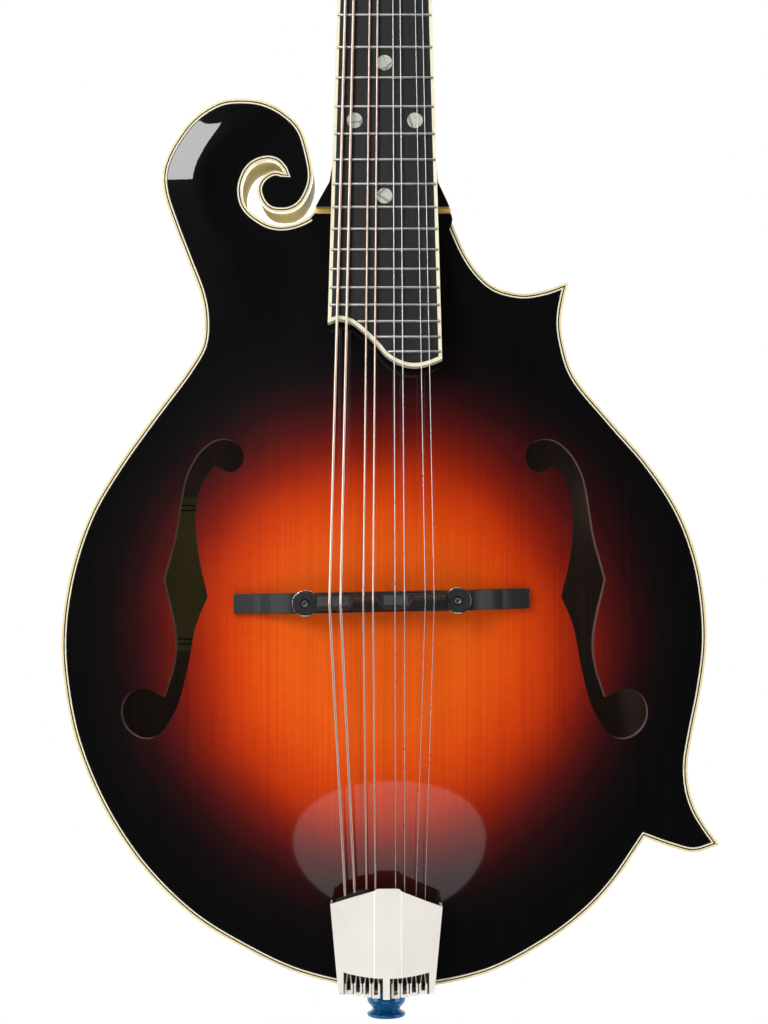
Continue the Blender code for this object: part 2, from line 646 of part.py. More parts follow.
def neck_loft():
    """The neck's shaft and heel: a grid wrapped round the sections, with its two ends filled."""
    around = 14
    work = bmesh.new()
    bmesh.ops.create_grid(work, x_segments=around + 1, y_segments=len(NECK_SECTIONS) - 1, size=0.5)
    for vert in work.verts:
        section = round((vert.co.y + 0.5) * (len(NECK_SECTIONS) - 1))
        share = round((vert.co.x + 0.5) * (around + 1)) % (around + 1) / around
        down, half, back, squareness = NECK_SECTIONS[section]
        front = board_y(down, WOOD_TOP) if down >= 0.0 else 1.5
        angle = math.pi * share
        across = math.copysign(abs(math.cos(angle)) ** squareness, math.cos(angle))
        vert.co = Vector((half * across, front + (back - front) * math.sin(angle) ** 0.9, -down)) * MM
    item = from_bmesh("neck", work, Matrix.Identity(4))
    work = bmesh.new()
    work.from_mesh(item.data)
    bmesh.ops.remove_doubles(work, verts=work.verts, dist=1e-6)
    bmesh.ops.holes_fill(work, edges=[e for e in work.edges if e.is_boundary], sides=0)
    bmesh.ops.triangulate(work, faces=[f for f in work.faces if len(f.verts) > 4])
    bmesh.ops.recalc_face_normals(work, faces=work.faces)
    work.to_mesh(item.data)
    work.free()
    return item


def side_prism(name, profile, half_width):
    """A prism across the neck. The profile is (down, y)."""
    turned_frame = Matrix(((0, 0, 1, 0), (0, 1, 0, 0), (-1, 0, 0, 0), (0, 0, 0, 1)))
    return prism(name, [profile], -half_width, half_width, turned_frame)


def build_neck():
    neck = neck_loft()
    seat_end = 248.0
    riser_depth = WOOD_TOP + 0.2
    riser = [(199.0, board_y(199.0, riser_depth)), (seat_end, board_y(seat_end, riser_depth)),
             (seat_end, -24.8), (NECK_JOINT, TOP_EDGE - 0.8), (199.0, TOP_EDGE - 0.8)]
    join(neck, side_prism("riser", riser, 19.8))
    cheeks = [(-25.0, 201.0), (25.0, 201.0), (27.2, 206.5), (20.5, 217.5), (-20.5, 217.5), (-28.0, 206.5)]
    join(neck, prism("cheeks", [cheeks], TOP_EDGE - 3.4, TOP_EDGE - 0.9))
    join(neck, box("tenon", (-TENON_HALF, TENON_HALF), (198, TENON_END), (TENON_FRONT, TENON_BACK)))
    head = prism("head", [outline(HEAD_RUNS)], OVERLAY + GAP, HEAD_THICK, HEAD)
    join(neck, head)
    cut(neck, box("rod_channel", (-3.0, 3.0), (-20.0, 188.0), (2.0, 13.4), NECK))
    cut(neck, box("rod_pocket", (-4.8, 4.8), (-25.0, -3.0), (-5.0, 15.0), NECK))
    cut(neck, together(post_holes(3.6)))
    finish(neck, "black_lacquer", smooth=False)

    finish(cylinder("truss_rod", ROD_RADIUS, (-17.0, 186.0), rod_frame()), "steel", smooth=True)
    adjuster = cylinder("truss_rod_nut", 3.5, (-21.0, -10.0), rod_frame(), 6)
    cut(adjuster, cylinder("bore", ROD_RADIUS + GAP, (-16.7 - GAP, 0.0), rod_frame()))
    finish(adjuster, "brass")


def rod_frame():
    """Local z runs down the neck, along the truss rod."""
    return moved(NECK, depth=ROD_DEPTH) @ Matrix.Rotation(-math.pi / 2, 4, "X")


def post_holes(radius):
    return [
        cylinder("post_hole", radius, (-6.0, 24.0), moved(HEAD, side * POST_X, down))
        for side in (-1, 1) for down in POSTS_DOWN
    ]


def board_half(down):
    return BOARD_HALF_AT_NUT + BOARD_SPREAD * down


def board_outline():
    end = smooth_run(BOARD_END, 3.0)
    return [(board_half(0.3), 0.3), (-board_half(0.3), 0.3)] + [tuple(point) for point in end]


def build_fingerboard():
    edge = board_outline()
    inner = inset(edge, BOARD_EDGING)
    fill = inset(edge, BOARD_EDGING + GAP)
    board = prism("fingerboard", [fill], 0.0, BOARD_THICK, NECK)
    wires = []
    for number in range(1, FRETS + 1):
        down = SCALE * (1 - 2 ** (-number / 12))
        half = board_half(down) - BOARD_EDGING - GAP - 0.2
        down_span = (down - FRET_WIDTH / 2, down + FRET_WIDTH / 2)
        wire = box("fret", (-half, half), down_span, (-FRET_HEIGHT, 0.6), NECK)
        if number > 20:
            keep(wire, prism("limit", [inset(edge, BOARD_EDGING + GAP + 0.2)], -3.0, 3.0, NECK))
        wires.append(wire)
    join(board, together(wires))
    finish(board, "ebony")
    finish(prism("fingerboard_binding", [edge, inner], 0.0, BOARD_THICK, NECK), "ivoroid")
    nut = box("nut", (-BOARD_HALF_AT_NUT, BOARD_HALF_AT_NUT), (-NUT_LENGTH, 0.0), (-0.5, BOARD_THICK), NECK)
    finish(nut, "ivoroid")


def build_headstock():
    pocket = rectangle(-5.0, 5.0, -22.0, -1.5)
    holes = [circle(side * POST_X, down, 3.6) for side in (-1, 1) for down in POSTS_DOWN]
    overlay = prism("headstock_overlay", [outline(HEAD_RUNS), pocket] + holes, 0.0, OVERLAY, HEAD)
    finish(overlay, "black_lacquer")
    bell = [(-9.0, -1.0), (9.0, -1.0), (8.6, -8.0), (6.0, -14.0), (5.6, -20.0), (2.6, -29.0), (0.0, -31.0),
            (-2.6, -29.0), (-5.6, -20.0), (-6.0, -14.0), (-8.6, -8.0)]
    finish(prism("truss_rod_cover", [bell], -GAP - 1.5, -GAP, HEAD), "ebony")


# ---- Tuners ----
def gear_outline():
    """A gear with one tooth pointing down the headstock, towards its worm."""
    loop = []
    for tooth in range(TEETH):
        middle = math.pi / 2 + math.tau * tooth / TEETH
        for radius, width in ((GEAR_ROOT, -0.6), (GEAR_TIP, 0.0), (GEAR_ROOT, 0.6)):
            angle = middle + width / radius
            loop.append((radius * math.cos(angle), radius * math.sin(angle)))
    return loop


def worm_thread(base):
    """Two turns of thread about local z, with a gap facing the gear's tooth."""
    turns, steps = 2.0, 8
    start = -turns * THREAD_PITCH / 2
    profile = [(WORM_ROOT - 0.3, -0.65), (WORM_TIP, 0.0), (WORM_ROOT - 0.3, 0.65)]
    work = bmesh.new()
    verts = [work.verts.new((radius * MM, 0.0, height * MM)) for radius, height in profile]
    for first, second in zip(verts, verts[1:] + verts[:1]):
        work.edges.new((first, second))
    item = from_bmesh("thread", work, base @ Matrix.Translation((0.0, 0.0, start * MM)))
    screw = item.modifiers.new("helix", "SCREW")
    screw.angle = math.tau * turns
    screw.steps = screw.render_steps = round(steps * turns)
    screw.screw_offset = THREAD_PITCH * turns * MM
    screw.use_merge_vertices = False
    item.data = evaluated_mesh(item)
    item.modifiers.clear()
    work = bmesh.new()
    work.from_mesh(item.data)
    bmesh.ops.holes_fill(work, edges=[e for e in work.edges if e.is_boundary], sides=0)
    bmesh.ops.recalc_face_normals(work, faces=work.faces)
    work.to_mesh(item.data)
    work.free()
    return item


def build_tuner(side, index):
    down = POSTS_DOWN[index]
    number = index + 1 + (4 if side > 0 else 0)
    centre = moved(HEAD, side * POST_X, down)
    post = cylinder(f"tuner_post_{number}", POST_RADIUS, (POST_FRONT, POST_BACK), centre, 10)
    gear = prism("gear", [gear_outline()], GEAR_MIDDLE - GEAR_THICK / 2, GEAR_MIDDLE + GEAR_THICK / 2, centre)
    join(post, gear)
    finish(post, "nickel", smooth=False)

    worm_axis = moved(HEAD, side * POST_X, down + WORM_OFFSET, GEAR_MIDDLE) @ Matrix.Rotation(math.pi / 2, 4, "Y")
    shaft_ends = sorted(side * end for end in KNOB_SHAFT)
    knob = cylinder(f"tuner_knob_{number}", WORM_ROOT, shaft_ends, worm_axis, 8)
    facing_gear = Matrix.Rotation(math.pi, 4, "Z")
    join(knob, worm_thread(worm_axis @ facing_gear))
    join(knob, knob_button(worm_axis, side))
    finish(knob, "pearl", smooth=False)


def knob_button(axis, side):
    """The oval button, flat across the shaft."""
    loop = [(6.2 * math.cos(math.tau * i / 14), 7.5 * math.sin(math.tau * i / 14)) for i in range(14)]
    face = axis @ Matrix.Translation(Vector((0.0, 0.0, side * KNOB_BUTTON)) * MM)
    face = face @ Matrix.Rotation(math.pi / 2, 4, "Y") @ Matrix.Rotation(math.pi / 2, 4, "Z")
    return prism("button", [loop], -3.0, 3.0, face)


def build_tuner_plate(name, side):
    top, bottom = POSTS_DOWN[-1] - 9.0, POSTS_DOWN[0] + 13.0
    middle = side * POST_X
    left, right = middle - 8.0, middle + 8.0
    low_end = [(left, bottom - 3.0), (left + 3.0, bottom), (right - 3.0, bottom), (right, bottom - 3.0)]
    high_end = [(right, top + 3.0), (right - 3.0, top), (left + 3.0, top), (left, top + 3.0)]
    holes = [circle(middle, down, POST_RADIUS + GAP, 10) for down in POSTS_DOWN]
    back = PLATE_BACK + TUNER_PLATE
    plate = prism(name, [low_end + high_end] + holes, PLATE_BACK, back, HEAD)
    lugs, bores = [], []
    for down in POSTS_DOWN:
        worm_down = down + WORM_OFFSET
        for x in (middle - 5.4, middle + 5.4):
            depth_span = (back - 0.4, GEAR_MIDDLE + 3.0)
            lugs.append(box("lug", (x - 0.7, x + 0.7), (worm_down - 3.0, worm_down + 3.0), depth_span, HEAD))
        axis = moved(HEAD, middle, worm_down, GEAR_MIDDLE) @ Matrix.Rotation(math.pi / 2, 4, "Y")
        bores.append(cylinder("shaft_bore", WORM_ROOT + GAP, (-8.0, 8.0), axis, 8))
    join(plate, together(lugs))
    cut(plate, together(bores))
    finish(plate, "nickel")


def build_tuners():
    for name, side in (("tuner_plate_bass", -1), ("tuner_plate_treble", 1)):
        build_tuner_plate(name, side)
        for index in range(len(POSTS_DOWN)):
            build_tuner(side, index)


# ---- Bridge ----
def build_bridge():
    half = BRIDGE_LENGTH / 2
    across = np.linspace(-half, half, 12)
    spots = np.stack([across + BRIDGE_X, np.full(12, BRIDGE_DOWN)], axis=1)
    under = face_depth(spots, TOP_EDGE, TOP_CREST) - GAP
    foot = [(x, float(level)) for x, level in zip(across, under)]
    top = [(half, foot[-1][1] - BRIDGE_END_HIGH)] + BRIDGE_SHOULDER
    top += [(-x, depth) for x, depth in reversed(BRIDGE_SHOULDER)] + [(-half, foot[0][1] - BRIDGE_END_HIGH)]
    upright = BRIDGE @ Matrix.Rotation(math.pi / 2, 4, "X")
    profile = [(x, depth) for x, depth in foot + top]
    base = prism("bridge_base", [profile], -BRIDGE_WIDTH / 2, BRIDGE_WIDTH / 2, upright)
    saddle_loop = saddle_outline()
    holes = [circle(side * STUD_X, 0.0, STUD_RADIUS + GAP, 10) for side in (-1, 1)]
    saddle = prism("bridge_saddle", [saddle_loop] + holes, SADDLE_FRONT + 1.6, SADDLE_BACK, BRIDGE)
    join(saddle, prism("crest", [crest_outline()], SADDLE_FRONT, SADDLE_FRONT + 2.0, BRIDGE))
    for side, name in ((-1, "bass"), (1, "treble")):
        place = moved(BRIDGE, side * STUD_X)
        cut(base, cylinder("bore", STUD_RADIUS + GAP, (BASE_FRONT - 2.0, BASE_FRONT + 5.3), place, 10))
        stud = cylinder(f"bridge_stud_{name}", STUD_RADIUS, (SADDLE_FRONT + 1.0, BASE_FRONT + 5.0), place, 10)
        finish(stud, "steel", smooth=True)
        low, high = BASE_FRONT - GAP - WHEEL_THICK, BASE_FRONT - GAP
        wheel = prism(f"thumbwheel_{name}",
                      [circle(0, 0, WHEEL_RADIUS, 16), circle(0, 0, STUD_RADIUS + GAP, 10)], low, high, place)
        wheel.data.transform(Matrix.Translation(Vector((0, 0, (low + high) / 2)) * MM))
        wheel.matrix_world = place
        finish(wheel, "brass")
    finish(base, "ebony")
    finish(saddle, "ebony")


def saddle_outline():
    """Rounded ears round the studs, with a straight bar between them."""
    ear, bar = 4.3, 3.0
    right = [(STUD_X + ear * math.cos(a), ear * math.sin(a)) for a in np.linspace(-2.2, 2.2, 9)]
    left = [(-x, -down) for x, down in right]
    return [(x, max(-ear, min(ear, down))) for x, down in right + [(20.0, bar), (-20.0, bar)] + left
            + [(-20.0, -bar), (20.0, -bar)]]


def crest_outline():
    """The string line, stepped forward and back for each pair of strings."""
    steps = [(-22.5, 1.3), (-12.0, 1.3), (-12.0, 0.0), (0.0, 0.0), (0.0, 1.2), (11.0, 1.2), (11.0, -0.4),
             (20.5, -0.4)]
    width = 1.8
    near = [(x, down - width / 2) for x, down in steps]
    far = [(x, down + width / 2) for x, down in reversed(steps)]
    return near + far


# ---- Tailpiece ----
def build_tailpiece():
    plate_front, sheet = -22.6, 1.2
    tail = 500.9
    profile = [(470.0, plate_front), (tail + sheet, plate_front), (tail + sheet, 12.0), (tail, 12.0),
               (tail, plate_front + sheet), (470.0, plate_front + sheet)]
    base = side_prism("tailpiece_base", profile, 17.0)
    join(base, together([
        cylinder("hook", HOOK_RADIUS, (HOOK_FRONT, plate_front + 0.6), moved(BODY, hook_x, HOOK_DOWN), 6)
        for _, _, hook_x, *_ in STRINGS
    ]))
    cut(base, button_bore(3.5))
    finish(base, "nickel")

    cover = prism("tailpiece_cover", [COVER_OUTLINE], COVER_FRONT, COVER_BACK)
    hollow = [(-30.0, 440.0), (30.0, 440.0), (20.6, 467.0), (18.9, 500.0), (-17.5, 500.0), (-19.2, 467.0)]
    cut(cover, prism("hollow", [hollow], COVER_FRONT + COVER_WALL, COVER_BACK + 5.0))
    for x_low, x_high in ((-16.0, -1.0), (1.7, 17.0)):
        cut(cover, box("window", (x_low, x_high), (491.5, 505.0), (COVER_FRONT - 2.0, COVER_FRONT + 4.0)))
    finish(cover, "nickel")

    place = Matrix.Translation(Vector((BUTTON_X, BUTTON_Y, 0.0)) * MM)
    profile = [(radius, -down) for radius, down in BUTTON_PROFILE]
    finish(turned("strap_button", profile, 16, place), "blue_metal", smooth=True)


# ---- Strings ----
def build_strings():
    for number, (nut_x, saddle_x, hook_x, size, side, tuner) in enumerate(STRINGS, 1):
        radius = size / 2
        post = HEAD @ (Vector((side * (POST_X - POST_RADIUS - radius - GAP), POSTS_DOWN[tuner], -7.0)) * MM)
        nut = NECK @ (Vector((nut_x, -NUT_LENGTH / 2, -STRING_OVER_NUT - radius)) * MM)
        saddle = Vector((saddle_x, SADDLE_FRONT - GAP - radius, -BRIDGE_DOWN)) * MM
        hook = Vector((hook_x, HOOK_FRONT + 1.5, -HOOK_DOWN + HOOK_RADIUS + radius + GAP)) * MM
        curve = bpy.data.curves.new(f"string_{number}", "CURVE")
        curve.dimensions = "3D"
        curve.bevel_depth = radius * MM
        curve.bevel_resolution = 1
        curve.use_fill_caps = True
        spline = curve.splines.new("POLY")
        spline.points.add(3)
        for point, place in zip(spline.points, (post, nut, saddle, hook)):
            point.co = (*place, 1.0)
        item = bpy.data.objects.new(f"string_{number}", curve)
        bpy.context.scene.collection.objects.link(item)
        mesh = evaluated_mesh(item)
        bpy.data.objects.remove(item)
        finish(link_mesh(f"string_{number}", mesh, Matrix.Identity(4)), "bronze" if number < 5 else "steel")


def main():
    clear_scene()
    make_collection("mandolin")
    build_body()
    build_neck()
    build_fingerboard()
    build_headstock()
    build_tuners()
    build_bridge()
    build_tailpiece()
    build_strings()


main()
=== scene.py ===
"""The finished look of an F-style mandolin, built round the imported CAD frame.

Shapes are worked out in millimetres, as (x, down) across the body and down from the nut, with a depth
into the instrument, and placed by the same frames as the CAD uses. Meshes are in metres."""

import math

import bmesh
import bpy
import numpy as np
from mathutils import Matrix, Vector
from mathutils.geometry import delaunay_2d_cdt


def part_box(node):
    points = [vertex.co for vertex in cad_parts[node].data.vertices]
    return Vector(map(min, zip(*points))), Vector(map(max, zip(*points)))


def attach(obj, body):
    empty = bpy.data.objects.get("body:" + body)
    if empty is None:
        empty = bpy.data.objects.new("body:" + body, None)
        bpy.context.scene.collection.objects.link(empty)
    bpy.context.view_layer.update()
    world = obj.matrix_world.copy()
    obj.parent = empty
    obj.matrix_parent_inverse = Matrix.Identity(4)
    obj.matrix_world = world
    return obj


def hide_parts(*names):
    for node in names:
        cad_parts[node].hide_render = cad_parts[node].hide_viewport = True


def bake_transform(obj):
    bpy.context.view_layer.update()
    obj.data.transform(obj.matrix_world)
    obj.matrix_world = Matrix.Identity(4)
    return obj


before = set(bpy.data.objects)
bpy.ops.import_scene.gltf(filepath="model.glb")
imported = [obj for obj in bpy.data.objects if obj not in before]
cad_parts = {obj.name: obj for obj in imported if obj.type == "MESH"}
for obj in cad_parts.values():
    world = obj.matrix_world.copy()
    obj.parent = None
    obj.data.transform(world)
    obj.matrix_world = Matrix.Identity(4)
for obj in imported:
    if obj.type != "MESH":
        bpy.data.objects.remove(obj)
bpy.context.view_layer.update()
ROOT = "instrument"
MM = 0.001

# ---- Sizes, as in the CAD ----
SCALE = 353.6
NECK_TILT, HEAD_TILT = math.radians(5.5), math.radians(20.5)
NUT_FRONT = -10.0
TOP_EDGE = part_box("top_binding")[0][1] / MM
BACK_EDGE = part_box("back_binding")[1][1] / MM
TOP_CREST, BACK_CREST = -31.0, 36.0
PLATE_TOP, PLATE_BACK = 4.0, 4.0
RIB = 3.4
FINE, NET = 1.3, 2.5  # steps along outlines and across plates

NECK_JOINT = 203.5
JOINT_BASS, JOINT_TREBLE = (-26.5, NECK_JOINT), (25.2, NECK_JOINT)
UPPER_TIP, LOWER_TIP = (70.1, 231.1), (127.5, 445.6)
NOTCH, SLOT_END = (99.1, 442.9), (-37.7, 189.8)
TREBLE_SHOULDER = [JOINT_TREBLE, (25.5, 207.8), (27.6, 213.2), (31.2, 220.8), (35.6, 227.3),
                   (42.1, 233.0), (52.3, 235.6), (61.2, 234.3), UPPER_TIP]
TREBLE_WAIST = [UPPER_TIP, (68.4, 237.9), (67.3, 246.3), (68.4, 255.1), (72.2, 266.5), (85.9, 283.6),
                (100.8, 300.8), (112.0, 317.9), (118.7, 335.1), (121.9, 352.2), (122.7, 369.4),
                (120.6, 386.5), (117.2, 403.7), (115.5, 415.1), (116.2, 424.6), (118.7, 432.2),
                (122.1, 438.0), LOWER_TIP]
LOWER_POINT = [LOWER_TIP, (117.9, 448.4), (109.3, 446.5), NOTCH]
TAIL_RUN = [NOTCH, (86.7, 460.8), (75.6, 472.3), (60.0, 483.7), (37.1, 495.1), (0.0, 500.4),
            (-31.1, 495.1), (-55.8, 483.7), (-73.7, 472.3), (-91.3, 455.1), (-103.4, 438.0),
            (-112.2, 420.8), (-118.3, 403.7), (-121.7, 386.5), (-123.1, 369.4), (-121.7, 352.2),
            (-117.9, 335.1), (-111.4, 317.9), (-101.2, 300.8), (-89.0, 283.6), (-74.1, 263.5),
            (-69.5, 255.1), (-68.6, 246.3), (-69.9, 236.8), (-75.1, 222.7), (-80.2, 209.4),
            (-84.0, 197.8), (-84.7, 190.9), (-83.5, 185.1), (-79.6, 177.3), (-72.4, 168.3),
            (-62.6, 162.3), (-53.4, 161.3), (-45.6, 162.5), (-38.3, 166.2), (-32.0, 172.5),
            (-28.7, 182.3), (-27.4, 190.3), (-27.9, 194.3), (-29.5, 198.3), (-31.9, 201.8),
            (-35.4, 204.0), (-39.4, 204.6), (-43.4, 204.0), (-46.3, 201.8), (-48.1, 198.3),
            (-48.5, 195.1), (-47.1, 191.9), (-44.7, 189.8), (-41.5, 188.7), SLOT_END]
SCROLL_SLOT = [SLOT_END, (-39.4, 187.5), (-41.0, 185.8), (-44.2, 184.8), (-48.7, 185.9),
               (-52.0, 188.8), (-54.3, 195.1), (-53.5, 201.0), (-51.1, 204.4), (-47.4, 207.2),
               (-44.7, 208.7), (-40.7, 209.7), (-36.7, 209.5), (-32.7, 208.4), (-28.2, 206.0),
               JOINT_BASS]
BODY_RUNS = [TREBLE_SHOULDER, TREBLE_WAIST, LOWER_POINT, TAIL_RUN, SCROLL_SLOT, [JOINT_BASS, JOINT_TREBLE]]
# The sound chamber's plan follows the outline, and cuts off the scroll and the two points.
CHAMBER = [(0.0, 206.0), (26.0, 212.0), (38.0, 230.0), (56.0, 243.0), (66.0, 255.0), *TREBLE_WAIST[4:12],
           (116.9, 403.7), (110.0, 424.0), *TAIL_RUN[:21], (-67.0, 250.0), (-56.0, 236.0), (-26.0, 212.0)]
F_HOLE_RUNS = [
    [(-64.5, 301.1), (-68.2, 306.1), (-70.7, 311.9), (-71.7, 320.9), (-70.3, 336.5), (-67.0, 350.8)],
    [(-67.0, 350.8), (-71.5, 361.9), (-74.8, 378.3), (-79.3, 393.9), (-86.2, 403.7), (-91.2, 405.2),
     (-96.1, 403.3), (-99.4, 399.2), (-100.3, 394.7), (-98.9, 389.8), (-95.3, 386.7),
     (-90.7, 386.1), (-84.0, 389.2)],
    [(-84.0, 389.2), (-80.1, 376.6), (-79.5, 366.0), (-84.1, 344.3)],
    [(-84.1, 344.3), (-79.7, 328.3), (-76.4, 308.6), (-74.4, 302.5), (-70.7, 296.3),
     (-65.7, 292.1), (-60.8, 291.0), (-55.1, 293.4), (-53.5, 298.0), (-54.7, 301.6),
     (-58.4, 303.7), (-64.5, 301.1)],
]

BOARD_THICK = 6.0
BOARD_HALF_AT_NUT, BOARD_SPREAD = 14.75, 0.02635
BOARD_EDGING = 1.3
BOARD_END = [(-21.3, 249.0), (-17.3, 247.6), (-12.6, 248.7), (-7.8, 252.4), (-3.0, 257.2), (0.8, 261.5),
             (6.6, 264.7), (11.4, 265.5), (16.2, 264.7), (21.6, 262.6)]
FRETS = 23
FRET_RADIUS = 0.55
NUT_LENGTH = 4.5
DOTS = [(3, 0.0), (5, 0.0), (7, 0.0), (10, 0.0), (12, -11.3), (12, 11.5), (15, 0.0)]  # fret, x
DOT_RADIUS = 2.95

HEAD_THICK, OVERLAY = 15.0, 2.0
HEAD_STEP = 2.5  # how far the headstock's face lies behind the board's, at the nut
HEAD_BOTTOM_HALF = 15.2
HEAD_RUNS = [
    [(HEAD_BOTTOM_HALF, -1.2), (16.2, -9.0), (20.5, -17.5), (27.0, -23.5), (32.0, -30.5)],
    [(32.0, -30.5), (30.8, -45.0), (29.4, -65.0), (28.6, -90.0), (29.8, -108.0), (33.5, -120.0),
     (38.0, -132.0), (39.0, -143.0), (35.5, -152.5), (28.0, -156.0), (20.5, -152.5),
     (18.2, -145.0), (21.5, -139.0), (26.5, -139.5)],
    [(26.5, -139.5), (22.0, -134.5), (15.5, -134.5), (10.5, -140.0), (8.5, -148.0), (5.5, -156.5),
     (-1.0, -164.0)],
    [(-1.0, -164.0), (-7.0, -156.5), (-9.5, -147.0), (-14.0, -139.0), (-21.0, -134.0),
     (-30.0, -131.5), (-37.0, -126.5)],
    [(-37.0, -126.5), (-31.0, -116.0), (-28.8, -104.0), (-28.6, -85.0), (-29.4, -65.0),
     (-30.8, -45.0), (-32.0, -30.5)],
    [(-32.0, -30.5), (-27.0, -23.5), (-20.5, -17.5), (-16.2, -9.0), (-HEAD_BOTTOM_HALF, -1.2)],
    [(-HEAD_BOTTOM_HALF, -1.2), (HEAD_BOTTOM_HALF, -1.2)],
]
POST_X = 19.0
POSTS_DOWN = [-36.0, -59.0, -82.0, -105.0]
POST_RADIUS, POST_FRONT, POST_BACK = 3.0, -13.0, 21.5
POST_HOLE = 3.6
TEETH, THREAD_PITCH = 16, 1.7
GEAR_ROOT, GEAR_TIP = 3.85, 4.8
WORM_ROOT, WORM_TIP = 1.7, 2.6
WORM_OFFSET = 6.65
GEAR_MIDDLE, GEAR_THICK = 19.3, 2.0

STRINGS = [  # x at nut, at saddle, at tailpiece hook, diameter, side of its tuner, tuner's number
    (-11.8, -20.4, -13.5, 1.02, -1, 0), (-9.3, -16.3, -10.0, 1.02, -1, 1),
    (-4.4, -7.9, -6.5, 0.66, -1, 2), (-1.7, -4.3, -3.2, 0.66, -1, 3),
    (2.8, 3.9, 4.2, 0.38, 1, 3), (5.1, 7.4, 7.6, 0.38, 1, 2),
    (9.7, 15.1, 11.1, 0.28, 1, 1), (12.1, 18.4, 14.6, 0.28, 1, 0),
]
STRING_OVER_NUT = 1.2
WOUND_STRINGS = 4
WINDING_RADIUS, WINDING_FRONT = 2.3, -7.0  # where a string meets its post
HOOK_FRONT = -26.5

BRIDGE_X, BRIDGE_DOWN, BRIDGE_TURN = -1.1, 352.4, math.radians(1.1)
BRIDGE_LENGTH, BRIDGE_WIDTH = 111.8, 7.6
BASE_FRONT, WHEEL_THICK, SADDLE_FRONT = -37.8, 1.8, -46.0
STUD_X, STUD_RADIUS, WHEEL_RADIUS = 28.5, 1.6, 5.0
BUTTON_X, BUTTON_Y = 0.7, 3.5


# ---- Frames: local x is across, local y is down the neck, local z is depth into the instrument ----
def frame(tilt, x=0.0, y=0.0, down=0.0):
    place = Matrix.Translation(Vector((x, y, -down)) * MM)
    return place @ Matrix.Rotation(-(math.pi / 2 + tilt), 4, "X")


def moved(base, x=0.0, down=0.0, depth=0.0):
    return base @ Matrix.Translation(Vector((x, down, depth)) * MM)


BODY = frame(0.0)
NECK = frame(NECK_TILT, y=NUT_FRONT)
HEAD = frame(HEAD_TILT, y=NUT_FRONT + HEAD_STEP, down=-NUT_LENGTH - 0.3)
BRIDGE = (
    Matrix.Translation(Vector((BRIDGE_X, 0.0, -BRIDGE_DOWN)) * MM)
    @ Matrix.Rotation(-BRIDGE_TURN, 4, "Y")
    @ frame(0.0)
)
BUTTON = Matrix.Translation(Vector((BUTTON_X, BUTTON_Y, 0.0)) * MM)
QUARTER_X, QUARTER_Y = (Matrix.Rotation(math.pi / 2, 4, axis) for axis in "XY")


# ---- Outlines ----
def smooth_run(points, step=FINE):
    """Points on a centripetal Catmull-Rom curve through the given points, both ends included."""
    knots = [Vector(point) for point in points]
    knots = [2 * knots[0] - knots[1]] + knots + [2 * knots[-1] - knots[-2]]
    result = []
    for a, b, c, d in zip(knots, knots[1:], knots[2:], knots[3:]):
        t1 = math.sqrt((b - a).length)
        t2 = t1 + math.sqrt((c - b).length)
        t3 = t2 + math.sqrt((d - c).length)
        count = max(1, round((c - b).length / step))
        for index in range(count):
            t = t1 + (t2 - t1) * index / count
            ab, bc, cd = a.lerp(b, t / t1), b.lerp(c, (t - t1) / (t2 - t1)), c.lerp(d, (t - t2) / (t3 - t2))
            abc, bcd = ab.lerp(bc, t / t2), bc.lerp(cd, (t - t1) / (t3 - t1))
            result.append(abc.lerp(bcd, (t - t1) / (t2 - t1)))
    result.append(knots[-2])
    return result


def outline(runs, step=FINE):
    """A closed outline made of smooth runs, with a corner where one run ends and the next starts."""
    return [tuple(point) for run in runs for point in smooth_run(run, step)[:-1]]


def smooth_loop(points, step=FINE):
    """A closed smooth outline through the given points, which overlaps itself by three spans."""
    wrapped = [points[-1]] + points + points[:2]
    spans = [smooth_run(wrapped[i:i + 4], step) for i in range(len(points))]
    counts = [max(1, round((Vector(b) - Vector(a)).length / step)) for a, b in zip(wrapped, wrapped[1:])]
    return [tuple(p) for i, span in enumerate(spans) for p in span[counts[i]:counts[i] + counts[i + 1]]]


def counter_clockwise(loop):
    points = np.array(loop)
    following = np.roll(points, -1, axis=0)
    area = np.sum(points[:, 0] * following[:, 1] - points[:, 1] * following[:, 0])
    return points if area > 0 else points[::-1]


def distance_to(loop, points, block=1500):
    """The distance from each point to the nearest edge of a closed loop."""
    start = np.array(loop)
    edge = np.roll(start, -1, axis=0) - start
    found = []
    for first in range(0, len(points), block):
        offset = np.asarray(points[first:first + block])[:, None, :] - start[None]
        share = np.clip(np.sum(offset * edge, axis=2) / np.sum(edge * edge, axis=1), 0.0, 1.0)
        found.append(np.min(np.linalg.norm(offset - share[..., None] * edge, axis=2), axis=1))
    return np.concatenate(found)


def is_inside(loop, points):
    """Whether each point lies inside a closed loop, by counting the edges to its right."""
    start = np.array(loop)
    end = np.roll(start, -1, axis=0)
    x, y = np.asarray(points).T[..., None]
    crosses = (start[:, 1] > y) != (end[:, 1] > y)
    rise = np.where(end[:, 1] == start[:, 1], 1e-12, end[:, 1] - start[:, 1])
    edge_x = start[:, 0] + (y - start[:, 1]) * (end[:, 0] - start[:, 0]) / rise
    return np.sum(crosses & (x < edge_x), axis=1) % 2 == 1


